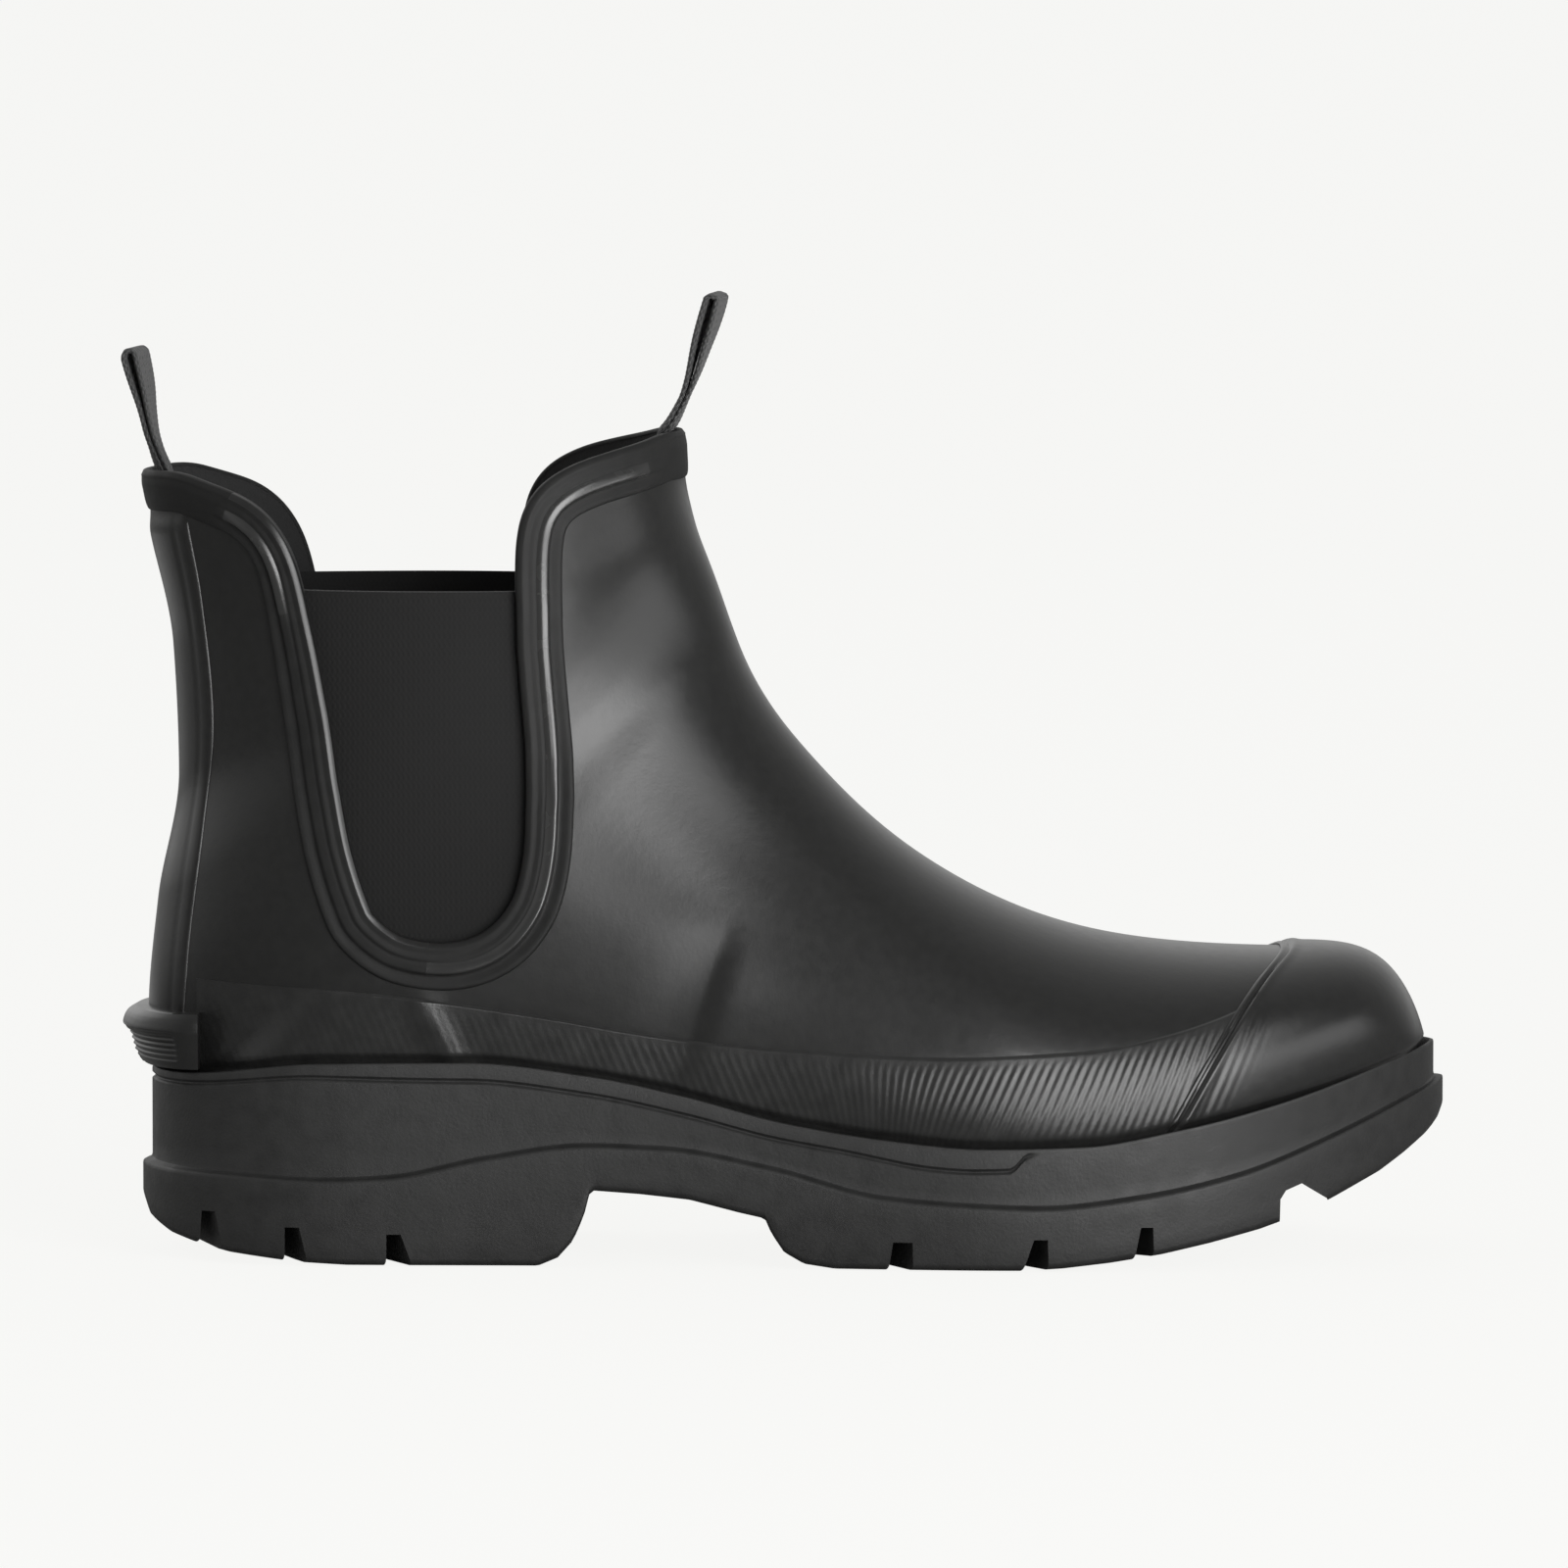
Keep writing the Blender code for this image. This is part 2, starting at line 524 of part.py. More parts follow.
def make_sole(parts, cutters, last_form):
    tread_edge = profile(TREAD_EDGE, TREAD_EDGE_COLUMNS)
    rim = profile(RIM, RIM_COLUMNS)
    sole = sole_layer("outsole", 0.0, ground, tread_edge, 1.6, parts, "sole_rubber")
    wall = sole_layer("sole side wall", RIM_INSET, lambda x: tread_edge(x) - 4.0, rim, 0.5, cutters)
    boolean(sole, wall, "UNION")
    boolean(sole, last_form, "DIFFERENCE")
    boolean(sole, prism("toe notch", TOE_NOTCH, cutters), "DIFFERENCE")
    boolean(sole, grooves("outer grooves", -1.0, cutters), "DIFFERENCE")
    boolean(sole, grooves("inner grooves", 1.0, cutters), "DIFFERENCE")
    boolean(sole, channels("channels", cutters), "DIFFERENCE")
    return smooth(sole, 30.0)


def make_insole(parts):
    """Flat foot bed on the floor of the sole, just inside the lower edge of the upper."""
    fine = np.linspace(HEEL_END, 0.0, 300)
    foot_x = section("foot_x", fine)
    plan_x, plan_half = draw_in(foot_x, section("edge_width", fine), WALL + 5.0 * GAP)
    ease = (1.0 - np.cos(np.linspace(0.12, np.pi - 0.12, 27))) / 2.0
    x = plan_x[0] + (plan_x[-1] - plan_x[0]) * ease
    order = np.argsort(plan_x)
    half = np.interp(x, plan_x[order], plan_half[order])
    z = np.interp(x, foot_x, section("foot_z", fine)) + GAP
    middle = swing(x, z)
    vertices = []
    for i in range(len(x)):
        for side, lift in ((-1, 0.0), (1, 0.0), (1, INSOLE_THICK), (-1, INSOLE_THICK)):
            vertices.append((x[i] * SCALE_X, (middle[i] + side * half[i]) * SCALE_Y, (z[i] + lift) * SCALE_Z))
    faces = [(0, 1, 2, 3), tuple(range(4 * len(x) - 1, 4 * len(x) - 5, -1))]
    for i in range(len(x) - 1):
        for j in range(4):
            a = 4 * i + j
            b = 4 * i + (j + 1) % 4
            faces.append((a, b, b + 4, a + 4))
    return smooth(turn_out(place("insole", vertices, faces, parts, "foam")))


def make_upper(parts, cutters):
    upper = shell(skin("upper", 0.0, parts, "boot_rubber"), WALL, -1.0)
    boolean(upper, cutters["cut out"], "DIFFERENCE")
    return smooth(upper)


def overlay(name, offset, thickness, area, parts, look, first, final):
    """Layer on or under the upper: a thicker sheet of the last kept only inside a side outline."""
    layer = shell(skin(name, offset, parts, look, first, final), thickness, 1.0 if offset > 0.0 else -1.0)
    boolean(layer, area, "INTERSECT")
    return smooth(layer)


def make_spur(parts, last_form):
    """Ledge round the heel: half rounds at each level, with the last cut away."""
    angles = np.linspace(-np.pi / 2, np.pi / 2, SPUR_STEPS + 1)
    vertices = []
    for z, back_x, half_width in SPUR:
        depth = SPUR_FRONT_X - back_x
        for angle in angles:
            x = SPUR_FRONT_X - depth * np.cos(angle)
            vertices.append((x * SCALE_X, half_width * np.sin(angle) * SCALE_Y, z * SCALE_Z))
    count = len(angles)
    faces = [tuple(range(count)), tuple(range(len(SPUR) * count - 1, (len(SPUR) - 1) * count - 1, -1))]
    for i in range(len(SPUR) - 1):
        for j in range(count):
            a = i * count + j
            b = i * count + (j + 1) % count
            faces.append((a, b, b + count, a + count))
    spur = turn_out(place("heel_spur", vertices, faces, parts, "boot_rubber"))
    boolean(spur, last_form, "DIFFERENCE")
    return smooth(spur, 30.0)


def loop_outline(table):
    """Side outline of a row table: down the back edge, up the front edge."""
    front = [(x + half, z) for z, x, half in table]
    back = [(x - half, z) for z, x, half in table]
    return front + back[::-1]


def make_loop(name, table, eye, parts, cutters):
    half = LOOP_WIDTH / 2.0
    loop = prism(name, loop_outline(table), parts, -half, half, "webbing")
    boolean(loop, prism(name + " eye", loop_outline(eye), cutters), "DIFFERENCE")
    return smooth(loop)


def main():
    for thing in list(bpy.data.objects):
        bpy.data.objects.remove(thing, do_unlink=True)
    parts = bpy.data.collections.new("rain boot")
    cutters = bpy.data.collections.new("cutters")
    cutters.hide_render = True
    bpy.context.scene.collection.children.link(parts)
    bpy.context.scene.collection.children.link(cutters)
    last_form = closed_last("last with gap", SEAT_GAP, cutters)
    areas = {
        "cut out": prism("cut out", rounded(CUT_OUT, 2, 2), cutters),
        "binding": prism("binding area", rounded(BINDING_AREA, 2, 2), cutters),
        "toe cap": prism("toe cap area", TOE_CAP_AREA, cutters),
        "stay": prism("stay area", STAY_AREA, cutters),
        "outer": prism("outer gusset area", GUSSET_AREA, cutters, -90.0, -2.0),
        "inner": prism("inner gusset area", GUSSET_AREA, cutters, 2.0, 90.0),
    }
    make_sole(parts, cutters, last_form)
    make_insole(parts)
    make_upper(parts, areas)
    overlay("toe_cap", GAP, TOE_CAP_THICK, areas["toe cap"], parts, "boot_rubber", 0, 7)
    overlay("heel_stay", GAP, STAY_THICK, areas["stay"], parts, "boot_rubber", 13, COLLAR)
    binding = overlay("edge_binding", GAP, BINDING_THICK, areas["binding"], parts, "boot_rubber", 8, COLLAR)
    boolean(binding, areas["cut out"], "DIFFERENCE")
    for side in ("outer", "inner"):
        overlay("gusset_" + side, -WALL - GAP, GUSSET_THICK, areas[side], parts, "elastic", 8, COLLAR)
    make_spur(parts, last_form)
    make_loop("pull_loop_front", FRONT_LOOP, FRONT_LOOP_EYE, parts, cutters)
    make_loop("pull_loop_back", BACK_LOOP, BACK_LOOP_EYE, parts, cutters)


main()
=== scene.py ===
# %% [markdown]
# # A rain boot for the right foot
# The boot is a black pull-on ankle boot: a thin rubber upper over a last, a toe cap, a textured band
# round the foot, a ribbed ledge at the heel, elastic side panels with a moulded edge, webbing loops and a
# lugged sole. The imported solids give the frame. Each piece below is laid in the place of its solid, with
# the finer shape and the finish that the real piece has.

import bmesh
import bpy
import numpy as np
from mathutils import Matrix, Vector


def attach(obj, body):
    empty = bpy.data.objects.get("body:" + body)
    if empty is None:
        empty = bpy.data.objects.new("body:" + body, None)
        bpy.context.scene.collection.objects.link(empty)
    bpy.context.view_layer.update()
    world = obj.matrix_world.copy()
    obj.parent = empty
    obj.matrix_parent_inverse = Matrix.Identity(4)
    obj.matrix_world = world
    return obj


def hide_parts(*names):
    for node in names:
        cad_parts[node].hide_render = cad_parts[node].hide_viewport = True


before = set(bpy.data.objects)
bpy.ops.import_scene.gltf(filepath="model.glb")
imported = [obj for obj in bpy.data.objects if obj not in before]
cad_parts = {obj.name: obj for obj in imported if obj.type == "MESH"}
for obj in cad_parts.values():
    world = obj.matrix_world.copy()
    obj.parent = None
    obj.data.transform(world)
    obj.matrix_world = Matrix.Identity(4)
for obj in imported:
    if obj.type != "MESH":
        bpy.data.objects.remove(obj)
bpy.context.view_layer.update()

# %% [markdown]
# ## Curves through rows
# A shoemaker draws a few sections and lets a batten run through them. Two battens are used here: a
# natural cubic, which bends evenly, and a careful cubic, which never swings past its rows and so suits
# edges and outlines.

# %% Battens
MM = 0.001
ORIGIN = np.array([148.4, 0.5, 0.0])


def spline(xs, ys, at):
    """Natural cubic: the second slope is zero at both ends and runs on evenly at each row."""
    xs, ys, at = (np.asarray(v, float) for v in (xs, ys, at))
    step = np.diff(xs)
    rise = np.diff(ys) / step
    matrix = np.diag(np.concatenate([[1.0], 2.0 * (step[:-1] + step[1:]), [1.0]]))
    matrix += np.diag(np.concatenate([step[:-1], [0.0]]), -1) + np.diag(np.concatenate([[0.0], step[1:]]), 1)
    bend = np.linalg.solve(matrix, np.concatenate([[0.0], 6.0 * np.diff(rise), [0.0]]))
    k = np.clip(np.searchsorted(xs, at, side="right") - 1, 0, len(xs) - 2)
    left, rest, wide = at - xs[k], xs[k + 1] - at, step[k]
    cubic = (bend[k] * rest ** 3 + bend[k + 1] * left ** 3) / (6.0 * wide)
    before, after = ys[k] / wide - bend[k] * wide / 6.0, ys[k + 1] / wide - bend[k + 1] * wide / 6.0
    return cubic + before * rest + after * left


def even(xs, ys, at):
    """Careful cubic: the slope at a row is the harmonic mean of its neighbours, or none where it turns."""
    xs, ys, at = (np.asarray(v, float) for v in (xs, ys, at))
    step = np.diff(xs)
    rise = np.diff(ys) / step
    product = rise[:-1] * rise[1:]
    mean = 2.0 * product / np.where(product > 0.0, rise[:-1] + rise[1:], 1.0)
    slope = np.concatenate([rise[:1], np.where(product > 0.0, mean, 0.0), rise[-1:]])
    k = np.clip(np.searchsorted(xs, at, side="right") - 1, 0, len(xs) - 2)
    u = (at - xs[k]) / step[k]
    start = (1.0 + 2.0 * u) * (1.0 - u) ** 2 * ys[k] + u * (1.0 - u) ** 2 * step[k] * slope[k]
    return start + u * u * (3.0 - 2.0 * u) * ys[k + 1] + u * u * (u - 1.0) * step[k] * slope[k + 1]


def along(table, at, batten=even):
    """Second column of a two-column table at any place of its first column, held at its ends."""
    rows = np.array(table, float)
    return batten(rows[:, 0], rows[:, 1], np.clip(at, rows[0, 0], rows[-1, 0]))


def ease(low, high, at):
    """Soft ramp from 0 at low to 1 at high: three squares less two cubes."""
    part = np.clip((at - low) / (high - low), 0.0, 1.0)
    return part * part * (3.0 - 2.0 * part)


# %% [markdown]
# ## The last
# Every layer of the upper hugs the same last, so the last is one function: a step from toe to collar and
# a turn from the outer edge over the top to the inner edge. A mesh copied from the solids would be too
# coarse for gloss, while a function can be read as finely as each layer needs, and it gives its own
# outward direction.

# %% Rows of the last, in millimetres from the heel
SECTION_COLUMNS = (
    "top_x", "top_z", "foot_x", "foot_z", "half_width", "widest", "edge_width", "crown", "closing",
)
SECTIONS = np.array([
    (296.6, 45.4, 296.9, 38.6, 0.0, 0.5, 0.0, 2.2, 1.0),
    (294.3, 53.6, 293.6, 37.7, 14.5, 0.51, 12.5, 2.25, 1.0),
    (287.9, 64.0, 286.4, 35.0, 25.0, 0.53, 21.8, 2.3, 1.0),
    (277.8, 68.6, 275.8, 31.3, 34.0, 0.56, 30.0, 2.35, 1.0),
    (262.2, 69.3, 262.0, 27.1, 42.0, 0.6, 37.3, 2.35, 1.0),
    (240.6, 70.5, 245.0, 22.8, 48.0, 0.64, 43.0, 2.25, 1.0),
    (217.7, 74.3, 228.0, 19.5, 50.3, 0.68, 45.5, 2.1, 1.0),
    (195.0, 82.8, 208.0, 17.8, 50.3, 0.71, 45.5, 2.0, 1.0),
    (172.3, 97.3, 184.0, 17.9, 46.5, 0.73, 41.5, 1.95, 1.0),
    (155.0, 114.1, 152.0, 22.7, 41.2, 0.7, 36.5, 1.9, 1.0),
    (146.0, 125.2, 118.0, 28.9, 38.6, 0.64, 34.2, 1.9, 1.05),
    (140.7, 134.1, 80.0, 34.9, 38.4, 0.58, 34.0, 1.95, 1.2),
    (137.4, 141.8, 45.0, 35.4, 39.0, 0.54, 33.0, 2.0, 1.5),
    (134.8, 149.1, 17.0, 33.8, 39.6, 0.52, 21.5, 2.0, 1.8),
    (132.6, 155.4, 5.4, 35.0, 40.0, 0.5, 0.0, 2.0, 2.1),
    (130.4, 161.2, 2.2, 55.6, 40.6, 0.49, 0.0, 2.0, 2.1),
    (128.4, 166.6, 4.5, 81.6, 41.4, 0.48, 0.0, 2.0, 2.1),
    (126.9, 172.1, 9.4, 110.6, 42.6, 0.47, 0.0, 2.0, 2.1),
    (125.7, 178.1, 8.2, 140.6, 44.0, 0.47, 0.0, 2.0, 2.1),
    (125.2, 184.3, 3.2, 165.1, 45.3, 0.47, 0.0, 2.0, 2.1),
    (125.0, 189.2, 0.2, 179.8, 46.0, 0.47, 0.0, 2.0, 2.1),
])
SWING = [
    (0.0, 0.0), (45.0, -0.3), (75.0, -1.5), (105.0, -3.0), (135.0, -4.0), (165.0, -3.5), (190.0, -2.0),
    (210.0, 0.0), (225.0, 1.4), (245.0, 3.3), (265.0, 5.4), (280.0, 6.9), (290.0, 7.9), (302.0, 8.8),
]
SWING_FADE = (60.0, 140.0)
HEEL_END, COLLAR = 14, 20
SPLIT = 0.62
WALL, GAP = 2.4, 0.3
HALVINGS = 40


def section(name, step):
    """One column of the last at any step; the rows run on mirrored past the toe, so the toe is round."""
    values = SECTIONS[:, SECTION_COLUMNS.index(name)]
    mirror = -1.0 if name in ("half_width", "edge_width") else 1.0
    values = np.concatenate([mirror * values[3:0:-1], values])
    batten = even if name in ("foot_x", "foot_z", "edge_width", "closing") else spline
    return batten(np.arange(-3, len(SECTIONS)), values, step)


def swing(x, z):
    """Sideways shift of the middle line: full at the foot, none at the shaft."""
    return along(SWING, x) * (1.0 - ease(*SWING_FADE, z))


def last(step, turn):
    """Point of the last: an oval from the top line to the widest place, then a curve in to the edge."""
    size = {name: section(name, step) for name in SECTION_COLUMNS}
    part = np.abs(turn)
    upper = np.clip(part / SPLIT, 0.0, 1.0) * np.pi / 2
    fall = np.sin(np.clip((part - SPLIT) / (1.0 - SPLIT), 0.0, 1.0) * np.pi / 2)
    power = 2.0 / size["crown"]
    closing = np.clip(1.0 - fall ** 2, 0.0, 1.0) ** (1.0 / size["closing"])
    high = part <= SPLIT
    down = np.where(
        high,
        size["widest"] * (1.0 - np.cos(upper) ** power),
        size["widest"] + (1.0 - size["widest"]) * fall,
    )
    out = np.where(
        high,
        size["half_width"] * np.sin(upper) ** power,
        size["edge_width"] + (size["half_width"] - size["edge_width"]) * closing,
    )
    x = size["top_x"] + (size["foot_x"] - size["top_x"]) * down
    z = size["top_z"] + (size["foot_z"] - size["top_z"]) * down
    return np.stack([x, swing(x, z) + np.sign(turn) * out, z], axis=-1)


def unit(vectors):
    """Vectors of length one."""
    return vectors / np.maximum(np.linalg.norm(vectors, axis=-1, keepdims=True), 1e-12)


def slopes(step, turn, small=0.002):
    """How the point moves for one step and for one turn, from two readings close by."""
    back, ahead = np.clip(step - small, 0, COLLAR), np.clip(step + small, 0, COLLAR)
    left, right = np.clip(turn - small, -1, 1), np.clip(turn + small, -1, 1)
    by_step = (last(ahead, turn) - last(back, turn)) / (ahead - back)[..., None]
    by_turn = (last(step, right) - last(step, left)) / (right - left)[..., None]
    return by_step, by_turn


def outward(step, turn):
    """Outward direction of the last: the two slopes crossed."""
    by_step, by_turn = slopes(step, turn)
    return unit(np.cross(by_turn, by_step))


def layer(step, turn, lift):
    """Point that stands off the last by the lift, in millimetres."""
    return last(step, turn) + np.asarray(lift)[..., None] * outward(step, turn)


def on_last(x, z):
    """Step and turn of the place that is seen at (x, z) from the side, on the inner half.

    The step is halved in on until the row's line from top to foot runs through the point. How far down
    that line the point lies gives the turn, by the formulas of last() read backwards.
    """
    low, high = np.zeros(np.shape(x)), np.full(np.shape(x), float(COLLAR))
    for _ in range(HALVINGS):
        step = (low + high) / 2.0
        top_x, top_z = section("top_x", step), section("top_z", step)
        run_x, run_z = section("foot_x", step) - top_x, section("foot_z", step) - top_z
        past = (x - top_x) * run_z - (z - top_z) * run_x > 0.0
        low, high = np.where(past, step, low), np.where(past, high, step)
    down = ((x - top_x) * run_x + (z - top_z) * run_z) / (run_x ** 2 + run_z ** 2)
    widest, power = section("widest", step), 2.0 / section("crown", step)
    upper = np.arccos(np.clip(1.0 - down / widest, 0.0, 1.0) ** (1.0 / power)) * 2.0 / np.pi
    lower = np.arcsin(np.clip((down - widest) / (1.0 - widest), 0.0, 1.0)) * 2.0 / np.pi
    return step, np.where(down <= widest, SPLIT * upper, SPLIT + (1.0 - SPLIT) * lower)


probe = last(np.array([7.0, 7.0]), np.array([-SPLIT, SPLIT]))
print("ball girth width", np.round(probe[1, 1] - probe[0, 1], 1), "mm")

# %% [markdown]
# ## From grids to pieces
# A grid of points becomes a piece in three moves: four-cornered faces between neighbours, a second layer
# that gives the sheet its thickness, and a strip along every open edge. Working on whole index arrays
# keeps this to a few lines, and the edges that two halves share close by themselves, because they share
# their numbers.

# %% Mesh helpers
MERGE = 0.02 * MM


def quads(index, around=False):
    """Faces between the neighbours of an index grid; around also joins its last column to its first."""
    if around:
        index = np.concatenate([index, index[:, :1]], axis=1)
    corners = index[:-1, :-1], index[:-1, 1:], index[1:, 1:], index[1:, :-1]
    return np.stack(corners, axis=-1).reshape(-1, 4)


def grid_index(shape):
    """Numbers of a grid's points, row by row."""
    return np.arange(shape[0] * shape[1]).reshape(shape[:2])


def tube(index):
    """Faces round a tube and over its two ends, where each joins two neighbours to the two opposite."""
    half = index.shape[1] // 2
    ahead, back = index[[0, -1], :half], index[[0, -1], :half - 1:-1]
    caps = np.stack([ahead[:, :-1], ahead[:, 1:], back[:, 1:], back[:, :-1]], axis=-1)
    return np.concatenate([quads(index, around=True), caps[0][:, ::-1], caps[1]])


def thick(outer, inner, faces):
    """Two layers with the same faces, the inner one turned over, and a strip along each open edge."""
    outer, inner = outer.reshape(-1, 3), inner.reshape(-1, 3)
    edges = np.concatenate([faces[:, [k, (k + 1) % 4]] for k in range(4)])
    _, first, uses = np.unique(np.sort(edges, axis=1), axis=0, return_index=True, return_counts=True)
    a, b = edges[first[uses == 1]].T
    count = len(outer)
    strip = np.stack([b, a, a + count, b + count], axis=1)
    kind = np.repeat([0, 1, 0], [len(faces), len(faces), len(strip)])
    return np.concatenate([outer, inner]), np.concatenate([faces, faces[:, ::-1] + count, strip]), kind


def run_along(points):
    """Length of the way from the first row of points to each row."""
    steps = np.linalg.norm(np.diff(points, axis=0), axis=-1)
    return np.concatenate([np.zeros((1, *steps.shape[1:])), np.cumsum(steps, axis=0)])


def side_of(line):
    """Unit direction to the left of a drawn line, at each of its points."""
    run = np.gradient(line, axis=0)
    return unit(np.stack([-run[:, 1], run[:, 0]], axis=1))


def add_object(name, data):
    """New object in the scene."""
    thing = bpy.data.objects.new(name, data)
    bpy.context.scene.collection.objects.link(thing)
    return thing


def piece(name, points, faces, finishes, replaces=(), kind=None, uv=None, sharp=38.0):
    """Puts points, in millimetres, and faces into an object that rides on the boot and takes its finish."""
    mesh = bpy.data.meshes.new(name)
    place = (np.reshape(points, (-1, 3)) - ORIGIN) * MM
    mesh.vertices.add(len(place))
    mesh.vertices.foreach_set("co", place.ravel())
    mesh.loops.add(faces.size)
    mesh.loops.foreach_set("vertex_index", faces.ravel().astype(np.int32))
    mesh.polygons.add(len(faces))
    mesh.polygons.foreach_set("loop_start", np.arange(0, faces.size, 4, dtype=np.int32))
    for finish in finishes:
        mesh.materials.append(finish)
    if kind is not None:
        mesh.polygons.foreach_set("material_index", np.asarray(kind, np.int32))
    mesh.update(calc_edges=True)
    if uv is not None:
        corners = np.reshape(uv, (-1, 2))[faces.ravel()]
        mesh.uv_layers.new(name="cloth").data.foreach_set("uv", corners.ravel())
    form = bmesh.new()
    form.from_mesh(mesh)
    bmesh.ops.remove_doubles(form, verts=form.verts, dist=MERGE)
    bmesh.ops.dissolve_degenerate(form, edges=form.edges, dist=MERGE)
    form.to_mesh(mesh)
    form.free()
    mesh.shade_smooth()
    mesh.set_sharp_from_angle(angle=np.radians(sharp))
    thing = add_object(name, mesh)
    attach(thing, "root")
    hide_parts(*replaces)
    print(f"{name}: {len(mesh.polygons)} faces")
    return thing


# %% [markdown]
# ## Finishes
# Rubber that has been dipped and cured is satin: nearly black, with a fine skin and a slow mottle that
# breaks up its soft highlights. Both come from one grain group that reads the place on the boot, so every
# rubber piece can use it with its own sizes. Cloth finishes use a weave group that reads the piece's own
# map, laid out in millimetres.

# %% Grain and weave groups
RIB_SHARE, FINE_SHARE = 0.6, 0.5


def join(tree, node, inputs):
    """Gives a node's inputs their values: a link where the value is another node's output."""
    for word, value in inputs.items():
        if isinstance(value, bpy.types.NodeSocket):
            tree.links.new(value, node.inputs[word])
        else:
            node.inputs[word].default_value = value
    return node


def add_node(tree, kind, inputs, operation=None):
    """New shader node of a kind, with its inputs joined."""
    node = tree.nodes.new("ShaderNode" + kind)
    if operation:
        node.operation = operation
    return join(tree, node, inputs)


def math(tree, operation, *values):
    """Math node between sockets or numbers."""
    return add_node(tree, "Math", dict(enumerate(values)), operation).outputs[0]


def spread(tree, value, old, new):
    """Value carried from its old range to a new one."""
    ends = {"From Min": old[0], "From Max": old[1], "To Min": new[0], "To Max": new[1]}
    return add_node(tree, "MapRange", {"Value": value, **ends}).outputs["Result"]


def group(name, sizes, outputs):
    """Empty shader group; returns the tree, the place and sizes that it reads, and its end node."""
    tree = bpy.data.node_groups.new(name, "ShaderNodeTree")
    tree.interface.new_socket(name="Place", in_out="INPUT", socket_type="NodeSocketVector")
    for way, words in (("INPUT", sizes), ("OUTPUT", outputs)):
        for word in words:
            tree.interface.new_socket(name=word, in_out=way, socket_type="NodeSocketFloat")
    return tree, tree.nodes.new("NodeGroupInput").outputs, tree.nodes.new("NodeGroupOutput")


def make_grain():
    """Rubber skin: fine noise for the height, slow noise for the mottle."""
    tree, start, end = group("rubber grain", ("Fine", "Slow"), ("Height", "Mottle"))
    waves = []
    for word, detail in (("Fine", 1.0), ("Slow", 2.0)):
        reads = {"Vector": start["Place"], "Scale": start[word], "Detail": detail}
        waves.append(add_node(tree, "TexNoise", reads).outputs["Fac"])
    fine, slow = waves
    height = math(tree, "ADD", math(tree, "MULTIPLY", fine, FINE_SHARE), slow)
    join(tree, end, {"Height": height, "Mottle": slow})
    return tree


def make_weave():
    """Threads: one sine along the cloth times one across it, plus a share of the ribs in the height."""
    tree, start, end = group("cloth weave", ("Across", "Along"), ("Height", "Thread"))
    split = add_node(tree, "SeparateXYZ", {0: start["Place"]}).outputs
    ribs, picks = (
        math(tree, "SINE", math(tree, "MULTIPLY", split[axis], start[word]))
        for axis, word in (("X", "Across"), ("Y", "Along"))
    )
    cross = math(tree, "MULTIPLY", ribs, picks)
    height = math(tree, "ADD", math(tree, "MULTIPLY", ribs, RIB_SHARE), cross)
    join(tree, end, {"Height": height, "Thread": math(tree, "MULTIPLY_ADD", cross, 0.5, 0.5)})
    return tree


GRAIN, WEAVE = make_grain(), make_weave()
print("groups", [tree.name for tree in (GRAIN, WEAVE)])


# %% Finish maker
RAMP_ENDS, SPREAD_ENDS, COAT_ROUGHNESS = (0.3, 0.7), (0.25, 0.75), 0.3


def finish(name, effect, sizes, dark, light, roughness, bump, coat=0.0, sheen=0.0, shine=0.5):
    """Principled finish: the effect's second output runs colour and roughness, its first one the bump."""
    material = bpy.data.materials.new(name)
    material.use_nodes = True
    tree = material.node_tree
    parts = tree.nodes.new("ShaderNodeGroup")
    parts.node_tree = effect
    place = add_node(tree, "TexCoord", {}).outputs["Object" if effect is GRAIN else "UV"]
    height, mottle = join(tree, parts, {"Place": place, **sizes}).outputs
    ramp = add_node(tree, "ValToRGB", {"Fac": mottle})
    for stop, position, colour in zip(ramp.color_ramp.elements, RAMP_ENDS, (dark, light)):
        stop.position, stop.color = position, (*colour, 1.0)
    raised = add_node(tree, "Bump", {"Strength": bump[0], "Distance": bump[1], "Height": height})
    join(tree, tree.nodes["Principled BSDF"], {
        "Base Color": ramp.outputs["Color"],
        "Roughness": spread(tree, mottle, SPREAD_ENDS, roughness),
        "Normal": raised.outputs["Normal"],
        "Specular IOR Level": shine,
        "Sheen Weight": sheen,
        "Coat Weight": coat,
        "Coat Roughness": COAT_ROUGHNESS,
    })
    return material


BOOT_RUBBER = finish(
    "satin boot rubber", GRAIN, {"Fine": 1500.0, "Slow": 420.0},
    (0.0085, 0.0085, 0.0083), (0.0105, 0.0105, 0.0102), (0.29, 0.325), (0.12, 0.0002),
)
BAND_RUBBER = finish(
    "ribbed band rubber", GRAIN, {"Fine": 1500.0, "Slow": 260.0},
    (0.012, 0.012, 0.0118), (0.016, 0.016, 0.0156), (0.28, 0.36), (0.16, 0.0003),
)
EDGE_RUBBER = finish(
    "matte edge rubber", GRAIN, {"Fine": 1800.0, "Slow": 300.0},
    (0.01, 0.01, 0.0098), (0.013, 0.013, 0.0127), (0.55, 0.66), (0.2, 0.0002), shine=0.22,
)
BEAD_RUBBER = finish(
    "glossy bead rubber", GRAIN, {"Fine": 900.0, "Slow": 200.0},
    (0.015, 0.015, 0.0148), (0.02, 0.02, 0.0195), (0.22, 0.3), (0.12, 0.0002), coat=0.5,
)
SOLE_RUBBER = finish(
    "matte sole rubber", GRAIN, {"Fine": 1400.0, "Slow": 220.0},
    (0.015, 0.015, 0.0148), (0.02, 0.02, 0.0197), (0.46, 0.6), (0.3, 0.0003), shine=0.4,
)
